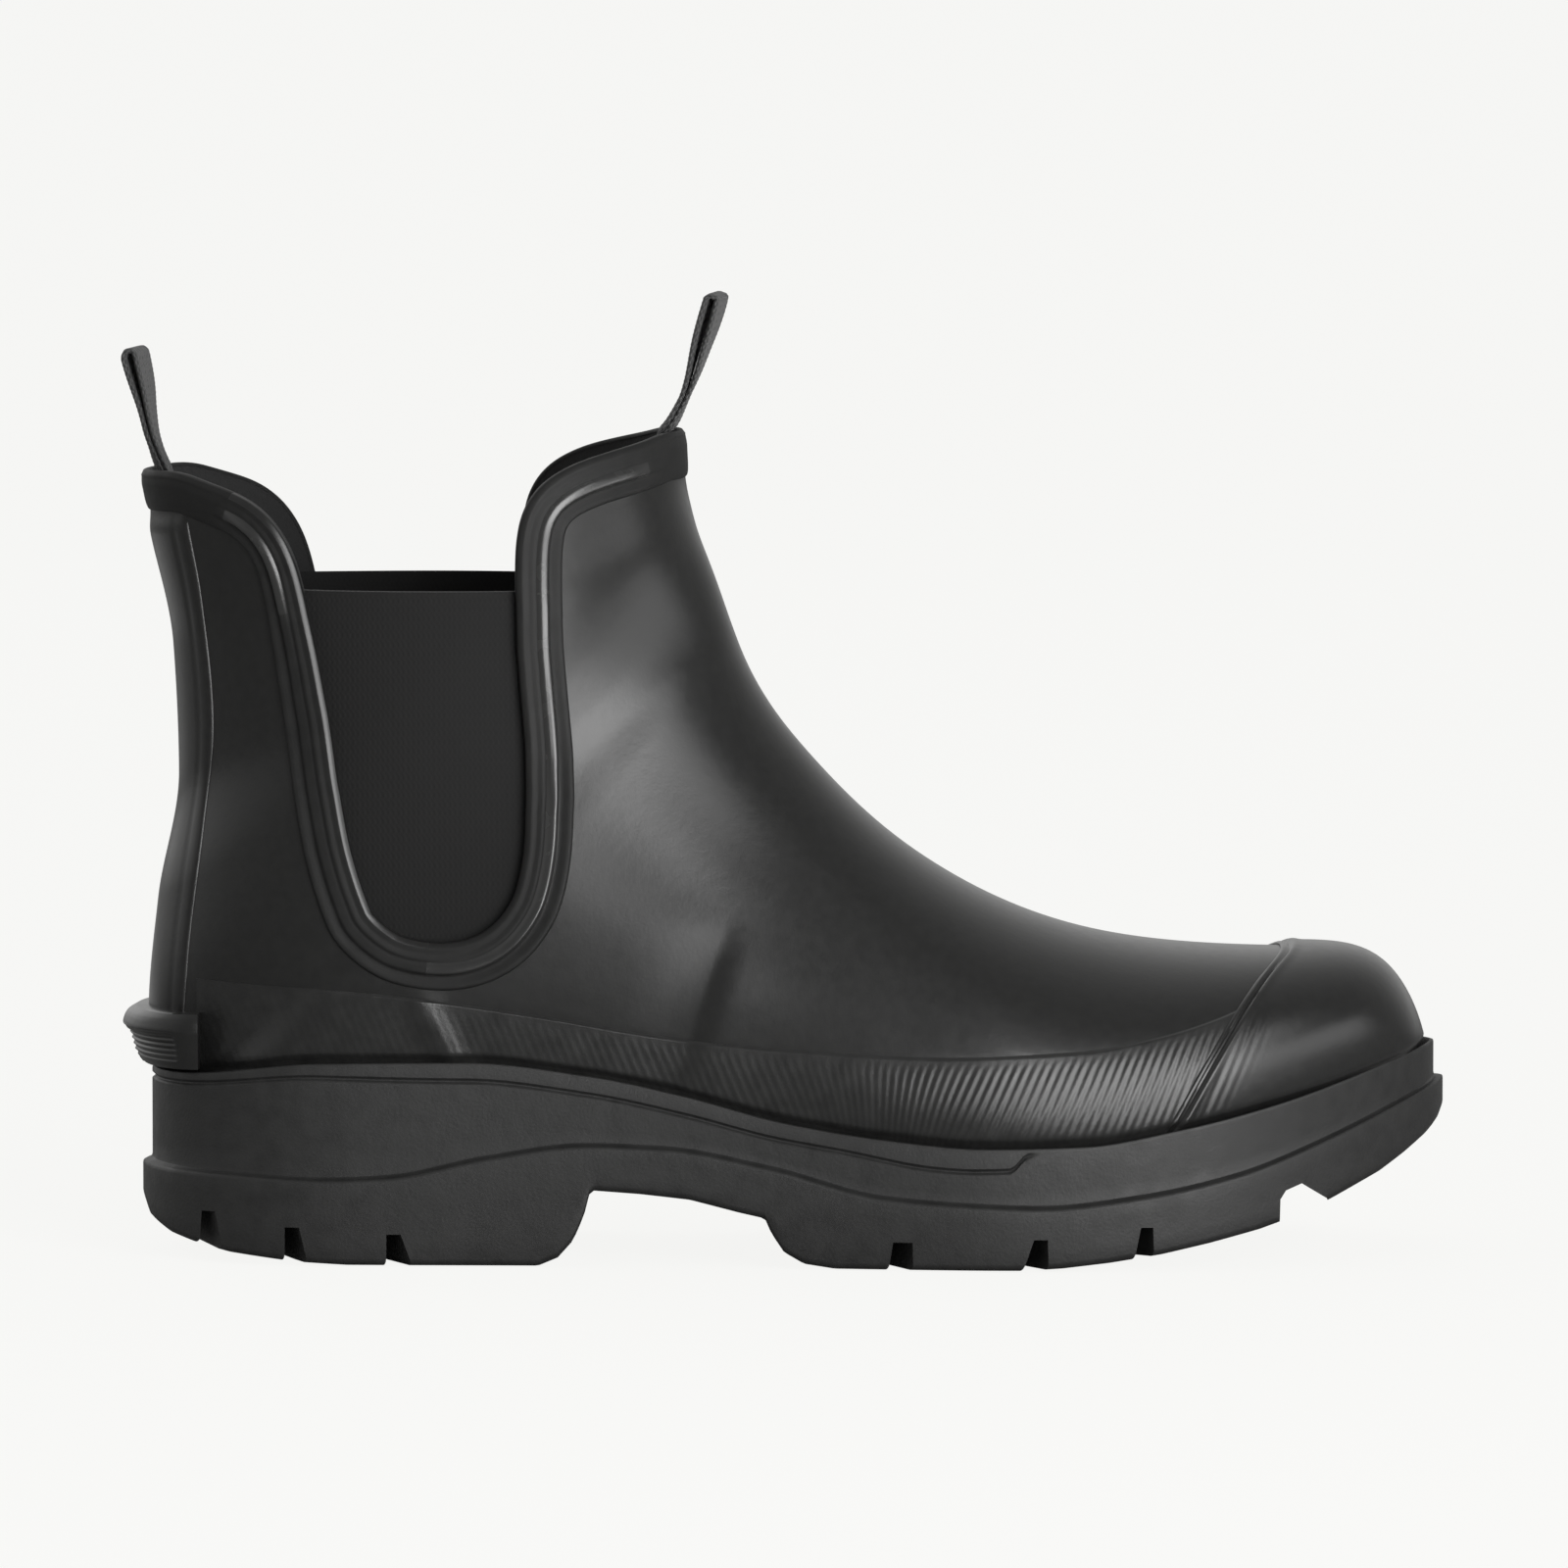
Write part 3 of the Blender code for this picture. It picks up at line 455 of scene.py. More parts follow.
LINING = finish(
    "knit lining", GRAIN, {"Fine": 2600.0, "Slow": 700.0},
    (0.006, 0.006, 0.006), (0.012, 0.012, 0.012), (0.85, 0.95), (0.4, 0.0003), sheen=0.1,
)
ELASTIC = finish(
    "ribbed elastic", WEAVE, {"Across": 5.2, "Along": 3.1},
    (0.009, 0.009, 0.009), (0.012, 0.012, 0.0118), (0.75, 0.85), (0.16, 0.00015), sheen=0.05, shine=0.15,
)
WEBBING = finish(
    "loop webbing", WEAVE, {"Across": 3.6, "Along": 3.6},
    (0.008, 0.008, 0.008), (0.055, 0.055, 0.055), (0.65, 0.8), (0.5, 0.0002), sheen=0.1,
)
FOOT_CLOTH = finish(
    "foot bed cloth", WEAVE, {"Across": 4.2, "Along": 4.2},
    (0.02, 0.02, 0.021), (0.034, 0.034, 0.035), (0.85, 0.95), (0.4, 0.0002), sheen=0.15,
)
print("finishes", len(bpy.data.materials))

# %% [markdown]
# ## Upper
# The upper is one sheet of rubber about as thick as a coin, with a knit lining inside. It is open at the
# collar, at the two elastic panels and underneath. A Boolean could cut the openings, but it leaves
# slivers that spoil the gloss. The grid keeps the faces outside the opening instead, and its edge points
# slide onto the drawn line. The two folds that the photo shows low on the side are placed as a
# soft trough and a soft ridge.

# %% Openings and folds
CUT_OUT = np.array([
    (2.0, 183.0), (13.4, 178.8), (22.4, 175.8), (27.3, 172.9), (30.6, 169.7), (34.2, 164.0),
    (36.6, 156.6), (38.1, 149.8), (40.4, 139.5), (43.7, 120.7), (47.0, 100.5), (51.0, 85.7), (55.9, 77.7),
    (62.9, 73.9), (71.5, 73.0), (79.8, 75.5), (86.5, 82.7), (89.7, 94.1), (90.5, 107.9), (90.0, 121.7),
    (89.0, 134.0), (88.3, 146.0), (88.1, 157.2), (88.4, 166.0), (89.7, 172.4), (93.0, 177.6),
    (97.7, 181.2), (103.3, 183.7), (109.8, 185.6), (116.0, 187.2), (121.4, 188.9), (123.6, 190.2),
])
ABOVE = 212.0
# Each fold: side, x and z of its upper end, x and z of its lower end, width behind and before, lift
FOLDS = [
    (-1, 136.0, 82.0, 121.0, 36.0, 12.0, 3.8, -0.85),
    (-1, 61.4, 67.0, 73.1, 45.0, 3.4, 3.4, 0.75),
    (1, 128.0, 82.0, 115.7, 36.0, 11.0, 3.8, -0.8),
    (1, 67.0, 67.0, 81.3, 45.0, 3.0, 3.0, 0.6),
]
FOLD_FADE = 0.35
RIM = [
    (1.0, 42.4), (14.0, 43.2), (42.0, 46.2), (76.0, 46.6), (103.0, 43.7), (126.0, 39.0), (148.0, 33.3),
    (171.0, 29.7), (194.0, 27.8), (217.0, 28.3), (239.0, 31.8), (262.0, 37.0), (285.0, 43.7), (294.0, 46.4),
    (297.0, 47.2), (299.8, 47.8),
]
BAND_TOP = [
    (12.0, 64.6), (54.0, 62.3), (90.0, 57.6), (126.0, 51.9), (155.0, 49.6), (183.0, 48.6), (217.0, 49.9),
    (235.0, 53.0), (247.0, 56.3), (258.0, 60.5),
]
WELT_HEIGHT, WELT_DEPTH, UNDER_BAND = 2.0, 1.0, 0.35
UPPER_ROWS, UPPER_HALF, UPPER_WELT = 225, 72, 1.2
COVER_FROM, COVER_DOWN, FOLD_SIDE = (14.0, 16.0), (1.0, 3.0), (0.0, 0.2)
# Where the rows are crowded for the folds: step, width, how much more
FOLD_STEPS = [(9.95, 0.35, 3.2), (11.75, 0.45, 2.2)]


def smooth_line(points, count):
    """Evenly spaced points on the natural cubic through a hand-drawn line, read along its length."""
    rows = np.arange(len(points))
    fine = np.linspace(0, len(points) - 1, 40 * len(points))
    curve = np.stack([spline(rows, points[:, k], fine) for k in range(points.shape[1])], axis=1)
    run = run_along(curve)
    at = np.linspace(0.0, run[-1], count)
    return np.stack([np.interp(at, run, curve[:, k]) for k in range(points.shape[1])], axis=1)


def nearest(line, points):
    """Nearest place on a line of short straight pieces, and how far it is, for all points at once."""
    start, run = line[:-1], np.diff(line, axis=0)
    part = np.clip(((points[:, None] - start) * run).sum(-1) / (run ** 2).sum(-1), 0.0, 1.0)
    place = start + part[..., None] * run
    far = np.linalg.norm(points[:, None] - place, axis=-1)
    best = far.argmin(1)
    every = np.arange(len(points))
    return place[every, best], far[every, best]


def inside(outline, points):
    """Even-odd rule: inside where a level line to the right crosses the outline an odd number of times."""
    (x0, z0), (x1, z1) = outline.T, np.roll(outline, -1, axis=0).T
    x, z = points[:, :1], points[:, 1:]
    level = np.where(z1 == z0, 1.0, z1 - z0)
    crosses = ((z0 > z) != (z1 > z)) & (x < x0 + (z - z0) * (x1 - x0) / level)
    return crosses.sum(1) % 2 == 1


def folds(points):
    """Lift of the listed folds: a bell over the distance to each fold's line, as wide as its row says.

    Each fold grows from nothing over the first part of its line, so its upper end runs out softly.
    """
    lift = np.zeros(len(points))
    for side, x_from, z_from, x_to, z_to, rear_width, front_width, height in FOLDS:
        line = np.array([(x_from, z_from), (x_to, z_to)])
        far = nearest(line, points[:, [0, 2]])[1]
        level = np.clip((points[:, 2] - z_from) / (z_to - z_from), 0.0, 1.0)
        wide = np.where(points[:, 0] > x_from + (x_to - x_from) * level, front_width, rear_width)
        shown = ease(0.0, FOLD_FADE, level) * (np.sign(points[:, 1]) == side)
        lift += height * np.exp(-(far / wide) ** 2) * shown
    return lift


def welt(points):
    """Draw-in just above the sole's rim, where the layers are rolled under: full at the rim, none above."""
    return -WELT_DEPTH * ease(0.0, WELT_HEIGHT, along(RIM, points[..., 0]) + WELT_HEIGHT - points[..., 2])


def close_seams(grid, steps):
    """The two halves meet on the toe line and, above the heel's end, on the back line."""
    grid[0] = (grid[0] + grid[0, ::-1]) / 2.0
    back = steps >= HEEL_END
    grid[back, 0] = grid[back, -1] = (grid[back, 0] + grid[back, -1]) / 2.0
    return grid.reshape(-1, 3)


cut_line = smooth_line(CUT_OUT, 240)
cut_area = np.concatenate([cut_line, [(CUT_OUT[-1, 0], ABOVE), (CUT_OUT[0, 0], ABOVE)]])
print("opening's line", len(cut_line), "points, folds", len(FOLDS))

# %% Make the upper


def make_upper():
    """Grid of steps and turns, its steps crowded where the folds lie, cut open and given its thickness."""
    even_steps = np.linspace(0, COLLAR, 2001)
    crowd = 1.0 + sum(more * np.exp(-((even_steps - at) / wide) ** 2) for at, wide, more in FOLD_STEPS)
    run = np.cumsum(crowd) - crowd[0]
    steps = np.interp(np.linspace(0.0, run[-1], UPPER_ROWS + 1), run, even_steps)
    turns = np.linspace(-1, 1, 2 * UPPER_HALF + 1)
    step, turn = np.meshgrid(steps, turns, indexing="ij")
    index = grid_index(step.shape)
    index[0] = np.minimum(index[0], index[0, ::-1])
    index[steps >= HEEL_END, -1] = index[steps >= HEEL_END, 0]
    faces = quads(index)
    skin = close_seams(last(step, turn), steps)
    away = outward(step, turn).reshape(-1, 3)
    keep = ~inside(cut_area, skin[faces].mean(1)[:, [0, 2]])
    edge = np.intersect1d(faces[keep], faces[~keep])
    slide = nearest(cut_line, skin[edge][:, [0, 2]])[0] - skin[edge][:, [0, 2]]
    skin[edge, 1] -= (slide * away[edge][:, [0, 2]]).sum(1) / away[edge, 1]
    skin[edge[:, None], [0, 2]] += slide
    covered = ease(*COVER_FROM, skin[:, 0]) * ease(*COVER_DOWN, along(BAND_TOP, skin[:, 0]) - skin[:, 2])
    lift = folds(skin) * ease(*FOLD_SIDE, np.abs(turn.ravel()))
    lift += UPPER_WELT * welt(skin) - UNDER_BAND * covered
    outer = skin + lift[:, None] * away
    inner = close_seams((skin - WALL * away).reshape(*step.shape, 3), steps)
    points, faces, kind = thick(outer, inner, faces[keep])
    return piece("upper_skin", points, faces, [BOOT_RUBBER, LINING], ["upper"], kind)


make_upper()

# %% [markdown]
# ## Toe cap
# A second layer of rubber is rolled over the toe. Its rear edge carries two thin beads with a groove
# between them. The cap is read from the same last, from the drawn edge forward to the toe line, with many
# rows at the beads and few where it is plain, so the beads are real shape and not only shading.

# %% Make the toe cap
CAP_EDGE = [
    (30.0, 234.9), (32.3, 236.3), (35.8, 238.2), (50.8, 247.2), (63.6, 256.9), (71.6, 266.7), (74.0, 269.5),
]
CAP_PROFILE = [
    (0.0, 0.1), (0.4, 0.45), (0.8, 0.62), (1.2, 0.6), (1.6, 0.35), (2.0, 0.2), (2.4, 0.4), (2.8, 0.95),
    (3.3, 1.3), (3.9, 1.35), (4.6, 1.22), (6.0, 1.1), (9.0, 1.12), (90.0, 1.25),
]
CAP_HALF, CAP_END, CAP_STEP = 90, 0.985, 8.0
CAP_ROWS, CAP_FINE = (46, 40), 0.25
CAP_DEEP, CAP_WELT = 1.0, 1.1
RIB_PITCH, RIB_SLANT, RIB_HEIGHT = 2.2, 0.45, 0.06
CAP_RIBS_IN, CAP_RIBS_OUT, CAP_RIBS_TOP = (4.0, 5.0), (7.0, 16.0), (54.0, 60.0)


def make_toe_cap():
    """Rows from the edge to the toe line; each row's lift comes from its run over the last so far."""
    turns = np.linspace(-CAP_END, CAP_END, 2 * CAP_HALF + 1)
    low, high = np.zeros(len(turns)), np.full(len(turns), CAP_STEP)
    for _ in range(HALVINGS):
        middle = (low + high) / 2.0
        point = last(middle, turns)
        ahead = point[:, 0] > along(CAP_EDGE, point[:, 2])
        low, high = np.where(ahead, middle, low), np.where(ahead, high, middle)
    beads, rest = np.linspace(0.0, CAP_FINE, CAP_ROWS[0]), np.linspace(CAP_FINE, 1.0, CAP_ROWS[1])
    step = middle * (1.0 - np.concatenate([beads, rest[1:]])[:, None])
    turn = np.broadcast_to(turns, step.shape)
    skin = last(step, turn)
    run = run_along(skin)
    ribs = np.sin(2.0 * np.pi * (skin[..., 0] - RIB_SLANT * skin[..., 2]) / RIB_PITCH) * RIB_HEIGHT
    ribs *= ease(*CAP_RIBS_IN, run) * (1.0 - ease(*CAP_RIBS_OUT, run))
    ribs *= 1.0 - ease(*CAP_RIBS_TOP, skin[..., 2])
    lift = along(CAP_PROFILE, run) + ribs + CAP_WELT * welt(skin)
    away = outward(step, turn)
    outer, inner = skin + (GAP + lift)[..., None] * away, skin - CAP_DEEP * away
    for grid in (outer, inner):
        grid[-1] = (grid[-1] + grid[-1, ::-1]) / 2.0
    index = grid_index(step.shape)
    index[-1] = np.minimum(index[-1], index[-1, ::-1])
    points, faces, _ = thick(outer, inner, quads(index)[:, ::-1])
    return piece("toe_cap_skin", points, faces, [BOOT_RUBBER], ["toe_cap"])


make_toe_cap()

# %% [markdown]
# ## Textured band
# Round the foot runs a band of thinner rubber that is rolled on with a ribbed wheel: fine ribs about two
# millimetres apart that fan out, leaning back at the arch and forward at the ball. Bump would do for the
# light on them, but they break up the long highlight beside the sole, so they are raised in the mesh,
# with six columns to a rib.

# %% Make the textured band
BAND_FROM, BAND_FOOT, BAND_LIFT, BAND_BASE, BAND_DEEP = 13.0, 4.0, 0.4, 0.06, 1.4
BAND_START, BAND_EDGE = (36.0, 62.0), (0.0, 0.028)
BAND_END_TOP, BAND_END_DROP, BAND_LAP = 60.0, 28.0, 1.0
RIB_TURN, RIB_GROW, RIB_TOP, RIB_LEAST = (150.0, 190.0), (80.0, 160.0), (0.06, 0.16), 0.3
BAND_COLUMNS = 680
BAND_DOWN = np.concatenate([[0.0, 0.006, 0.013, 0.02, 0.028], np.linspace(0.045, 1.0, 27)])


def make_band(side, name):
    """Columns from the heel to the edge of the toe cap, rows from the top line down into the sole's rim."""
    down = BAND_DOWN[:, None]
    front = along(CAP_EDGE, BAND_END_TOP - BAND_END_DROP * down) + BAND_LAP
    x = BAND_FROM + (front - BAND_FROM) * np.linspace(0.0, 1.0, BAND_COLUMNS + 1)
    top = along(BAND_TOP, x)
    z = top + (along(RIM, x) - BAND_FOOT - top) * down
    step, turn = on_last(x, z)
    turn = turn * side
    edge = ease(*BAND_EDGE, down) * ease(*BAND_START, x)
    slant = RIB_SLANT * (1.0 - 2.0 * ease(*RIB_TURN, x))
    ribs = np.sin(2.0 * np.pi * (x + slant * (z - top)) / RIB_PITCH) * ease(*RIB_TOP, down)
    ribs *= RIB_LEAST + (1.0 - RIB_LEAST) * ease(*RIB_GROW, x)
    skin, away = last(step, turn), outward(step, turn)
    fold = folds(skin.reshape(-1, 3)).reshape(x.shape)
    lift = fold + BAND_LIFT * edge + RIB_HEIGHT * ribs + BAND_BASE + welt(skin)
    outer = skin + lift[..., None] * away
    inner = skin + (np.minimum(fold, 0.0) - BAND_DEEP)[..., None] * away
    points, faces, _ = thick(outer, inner, quads(grid_index(x.shape))[:, ::-side])
    return piece(name, points, faces, [BAND_RUBBER], sharp=60.0)


make_band(-1, "side_band_outer")
make_band(1, "side_band_inner")

# %% [markdown]
# ## Moulded edge
# The collar and both openings share one moulded edge: a lip, a groove, a thin bead that catches the
# light, another groove and a flat border. It is a profile carried along a path. The path is the drawn
# line on the last; at each of its points the profile walks away over the surface, so it stays on the
# curved wall and never floats over it.

# %% Path and profile of the edge
EDGE_PROFILE = [
    (-0.15, -2.6), (-0.75, -2.2), (-0.95, -1.2), (-0.95, -0.3), (-0.85, -0.08), (-0.3, 0.3), (0.1, 0.58),
    (0.35, 0.66), (0.9, 0.64), (1.5, 0.55), (1.9, 0.62), (2.5, 0.85), (3.0, 0.9), (3.4, 0.8), (3.55, 0.9),
    (4.0, 1.22), (4.35, 1.44), (4.7, 1.53), (5.1, 1.62), (5.6, 1.73), (5.9, 1.68), (6.15, 1.35),
    (6.35, 0.75), (6.65, 0.35), (7.0, 0.3), (7.6, 0.45), (8.4, 0.7), (9.2, 0.9), (9.6, 0.8), (9.9, 0.45),
    (10.05, 0.05), (9.9, -0.25), (5.0, -0.25), (0.1, -0.25), (0.1, -2.6),
]
PLAIN_PROFILE = [(0.0, 0.5), (3.0, 0.9), (6.5, 0.9), (8.6, 0.78), (9.6, 0.5), (10.05, 0.05)]
BEAD, BEAD_FOOT, BEAD_LEAST, BEAD_LOST, BEAD_SHOWN = (3.5, 6.5), 0.6, 0.15, 0.8, 150.0
BEAD_FRONT, BEAD_REAR = (0.1, 0.3), (135.0, 165.0)
LIP_END, LIP_LOW, FACE_FROM = 0.3, -1.5, 0.2
PLAIN_FRONT, PLAIN_BACK = (0.16, 0.27), (16.0, 28.0)
REAR_X, REAR_TOP, REAR_REACH = (60.0, 75.0), (120.0, 170.0), 0.84
EDGE_COUNT, EDGE_SMOOTH, WALK = 330, 14, 0.5
COLLAR_GAP, COLLAR_FRONT, COLLAR_BACK, COLLAR_CUT = 0.4, 80, 40, 8


def edge_path():
    """Step and turn along the whole edge: front middle, outer opening, back middle, home by the inner side.

    The drawn line is read where it runs below the collar; the collar itself joins it at both ends, and
    each point is averaged with its neighbours a few times so that the corners run round softly.
    """
    line = smooth_line(CUT_OUT, 600)[::-1]
    ends = last(np.full(2, float(COLLAR)), np.array([0.0, 1.0]))
    slope = (ends[0, 2] - ends[1, 2]) / (ends[0, 0] - ends[1, 0])
    line = line[line[:, 1] < ends[1, 2] + slope * (line[:, 0] - ends[1, 0]) - COLLAR_GAP]
    drawn = np.stack(on_last(line[:, 0], line[:, 1]), axis=1)
    front = np.linspace(0.0, drawn[0, 1], COLLAR_FRONT)[:-COLLAR_CUT]
    back = np.linspace(drawn[-1, 1], 1.0, COLLAR_BACK)[COLLAR_CUT:]
    front, back = (np.stack([np.full(len(turn), float(COLLAR)), turn], axis=1) for turn in (front, back))
    drawn = np.concatenate([front, drawn, back])
    run = run_along(last(drawn[:, 0], drawn[:, 1]))
    at = np.linspace(0.0, run[-1], EDGE_COUNT + 1)
    half = np.stack([np.interp(at, run, drawn[:, k]) for k in (0, 1)], axis=1)
    for _ in range(EDGE_SMOOTH):
        half[1:-1] = (half[:-2] + 2.0 * half[1:-1] + half[2:]) / 4.0
    outer, inner = half * (1, -1), half[-2:0:-1]
    return np.concatenate([outer, inner]).T


def walk_away(step, turn, way, reach):
    """Lays equal steps over the last, each along the way as the surface turns it; returns all stops."""
    stops = [(step, turn)]
    for _ in range(int(np.ceil(reach / WALK)) + 1):
        by_step, by_turn = slopes(step, turn)
        ss, tt, st = (by_step ** 2).sum(-1), (by_turn ** 2).sum(-1), (by_step * by_turn).sum(-1)
        along_step, along_turn = (by_step * way).sum(-1) * WALK, (by_turn * way).sum(-1) * WALK
        whole = ss * tt - st ** 2
        step = np.clip(step + (along_step * tt - along_turn * st) / whole, 0.0, COLLAR)
        turn = np.clip(turn + (along_turn * ss - along_step * st) / whole, -1.0, 1.0)
        normal = outward(step, turn)
        way = unit(way - (way * normal).sum(-1, keepdims=True) * normal)
        stops.append((step, turn))
    return np.array(stops)


def make_edge():
    """Profile carried along the path: its reach is walked over the last and its lift stands off it.

    At the front and back middles it goes over to the plain profile; low on the rear sides the bead sinks.
    """
    step, turn = edge_path()
    place, normal = last(step, turn), outward(step, turn)
    path = unit(np.roll(place, -1, axis=0) - np.roll(place, 1, axis=0))
    way = unit(np.cross(normal, path))
    away, lift = np.array(EDGE_PROFILE).T
    rear = 1.0 - ease(*REAR_X, place[:, 0])
    reach = 1.0 - (1.0 - REAR_REACH) * rear * ease(*REAR_TOP, place[:, 2])
    stops = walk_away(step, turn, way, away.max())
    at = np.clip(away, 0.0, None)[:, None] * reach / WALK
    k = np.floor(at).astype(int)
    every = np.arange(len(step))
    near, far = stops[k, :, every], stops[k + 1, :, every]
    step_at, turn_at = np.moveaxis(near + (at - k)[..., None] * (far - near), -1, 0)
    bead_size = BEAD_LEAST + (1.0 - BEAD_LEAST) * ease(*BEAD_FRONT, np.abs(turn))
    bead_size *= 1.0 - BEAD_LOST * rear * (1.0 - ease(*BEAD_REAR, place[:, 2]))
    bead = (away > BEAD[0]) & (away < BEAD[1])
    height = np.where(bead[:, None], BEAD_FOOT + (lift[:, None] - BEAD_FOOT) * bead_size, lift[:, None])
    plain = 2.0 - ease(*PLAIN_FRONT, np.abs(turn)) - ease(*PLAIN_BACK, place[:, 0])
    face = (away > FACE_FROM) & (lift > 0.0)
    smooth = np.where(face, along(PLAIN_PROFILE, away), lift)[:, None]
    height = height + (smooth - height) * plain
    points = layer(step_at, turn_at, height) + np.minimum(away, 0.0)[:, None, None] * way
    index = grid_index(points.shape)
    faces = quads(np.concatenate([index, index[:1]]), around=True)
    lip, grooved = (away < LIP_END) & (lift > LIP_LOW), plain < 0.5
    shown = grooved & ((rear < 0.5) | (place[:, 2] > BEAD_SHOWN))
    kind = np.where(lip[:, None] & (rear > 0.5) & grooved, 2, 1)
    kind = np.where(bead[:, None] & shown, 0, kind).ravel()
    finishes = [BEAD_RUBBER, EDGE_RUBBER, BOOT_RUBBER]
    return piece("moulded_edge", points, faces, finishes, ["edge_binding"], kind, sharp=70.0)


make_edge()

# %% [markdown]
# ## Elastic panels
# Each opening is filled by a panel of ribbed elastic, held taut behind the wall and cut as a U with a
# straight top. The panel is woven flat and only curves with the shaft, so it is a grid between its rear
# and front edges, laid on the last behind the wall. Its map is in millimetres, which keeps the ribs
# upright and evenly spaced.

# %% Make the elastic panels
PANEL_REAR = np.array([
    (71.5, 66.8), (61.2, 68.2), (51.6, 73.6), (45.7, 83.7), (41.3, 99.8), (37.8, 119.7), (34.4, 139.5),
    (31.6, 154.5),
])
PANEL_FRONT = np.array([
    (71.5, 66.8), (82.4, 69.6), (91.8, 79.3), (96.2, 92.6), (97.1, 107.9), (96.8, 121.7), (95.8, 134.0),
    (95.1, 154.5),
])
PANEL_THICK, PANEL_FLAT, PANEL_AREA = 1.6, (0.067, 0.092), 0.0048
PANEL_ROWS, PANEL_ACROSS = 70, 61


def make_panel(side, name, node):
    """Grid between the two edges, laid behind the wall and given its thickness."""
    rear, front = smooth_line(PANEL_REAR, PANEL_ROWS), smooth_line(PANEL_FRONT, PANEL_ROWS)
    over = np.linspace(0.0, 1.0, PANEL_ACROSS)[:, None]
    x, z = (rear[:, None] + (front - rear)[:, None] * over).transpose(2, 0, 1)
    step, turn = on_last(x, z)
    depths = (WALL + GAP, WALL + GAP + PANEL_THICK)
    outer, inner = (layer(step, turn * side, np.full(x.shape, -depth)) for depth in depths)
    points, faces, _ = thick(outer, inner, quads(grid_index(x.shape))[:, ::side])
    uv = np.tile(np.stack([x, z], axis=-1).reshape(-1, 2), (2, 1))
    panel = piece(name, points, faces, [ELASTIC], [node], uv=uv)
    return panel


make_panel(-1, "elastic_outer", "gusset_outer")
make_panel(1, "elastic_inner", "gusset_inner")

# %% [markdown]
# ## Back strip and heel ledge
# A strip of rubber covers the seam up the back, slightly domed, with a fine groove beside each edge.
# Under it sits the ledge that the other foot treads on to pull the boot off: a half round with a flat top
# and level ribs on its slope, framed by a plain border at each end.

# %% Make the back strip
STRIP_EDGE = [
    (50.0, 9.6), (57.8, 10.1), (72.4, 11.3), (98.8, 14.6), (123.3, 17.0), (153.0, 14.3), (168.4, 11.6),
    (186.0, 8.6),
]
STRIP_PROFILE = [
    (0.0, 1.25), (0.5, 1.2), (0.74, 1.05), (0.82, 0.85), (0.88, 0.92), (0.94, 0.85), (0.98, 0.5),
    (1.0, 0.05),
]
STRIP_STEPS, STRIP_ENDS, STRIP_LEAST, STRIP_DEEP = (14.5, 19.45), (0.12, 0.4), 0.1, 0.3
STRIP_ROWS, STRIP_ACROSS, STRIP_TRIES = 150, 81, 20


def make_strip():
    """Rows up the back; each row runs from the outer edge over the back line to the inner edge."""
    rows = np.linspace(*STRIP_STEPS, STRIP_ROWS)
    top_x, top_z, foot_x, foot_z = (section(name, rows) for name in SECTION_COLUMNS[:4])
    share = np.zeros(len(rows))
    for _ in range(STRIP_TRIES):
        share = (along(STRIP_EDGE, foot_z + (top_z - foot_z) * share) - foot_x) / (top_x - foot_x)
    widest = section("widest", rows)
    edge = SPLIT + (1.0 - SPLIT) * np.arcsin((1.0 - share - widest) / (1.0 - widest)) * 2.0 / np.pi
    over = np.linspace(-1.0, 1.0, STRIP_ACROSS)
    step, over = np.meshgrid(rows, over, indexing="ij")
    turn = np.where(over < 0.0, -1.0, 1.0) * (1.0 - np.abs(over) * (1.0 - edge[:, None]))
    skin, away = last(step, turn), outward(step, turn)
    middle = over == 0.0
    away[middle, 1] = 0.0
    skin[middle, 1] = 0.0
    ends = ease(0.0, STRIP_ENDS[0], step - rows[0]) * ease(0.0, STRIP_ENDS[1], rows[-1] - step)
    lift = along(STRIP_PROFILE, np.abs(over)) * (STRIP_LEAST + (1.0 - STRIP_LEAST) * ends)
    outer, inner = skin + lift[..., None] * unit(away), skin - STRIP_DEEP * unit(away)
    points, faces, _ = thick(outer, inner, quads(grid_index(step.shape))[:, ::-1])
    return piece("back_strip", points, faces, [BOOT_RUBBER], ["heel_stay"], sharp=60.0)


make_strip()

# %% Make the heel ledge
LEDGE = [
    (43.8, -0.2, 28.2), (46.2, -2.0, 28.8), (48.6, -2.8, 29.3), (50.4, -3.4, 29.7), (52.6, -5.0, 30.2),
    (54.2, -4.6, 30.1), (55.3, -3.9, 29.8), (56.6, -1.8, 29.1),
]
LEDGE_FRONT, LEDGE_TOP, LEDGE_RIBS, LEDGE_RIB_HEIGHT, LEDGE_SINK = 13.5, 4, 7, 0.2, 0.35
LEDGE_FROM, LEDGE_TO, LEDGE_BORDER = (0.3, 0.8), (3.6, 4.0), np.radians((68.0, 74.0))
LEDGE_DEEP, LEDGE_LAP, LEDGE_POWER = 0.4, 0.9, 8
LEDGE_ROWS, LEDGE_COLUMNS = 90, 121


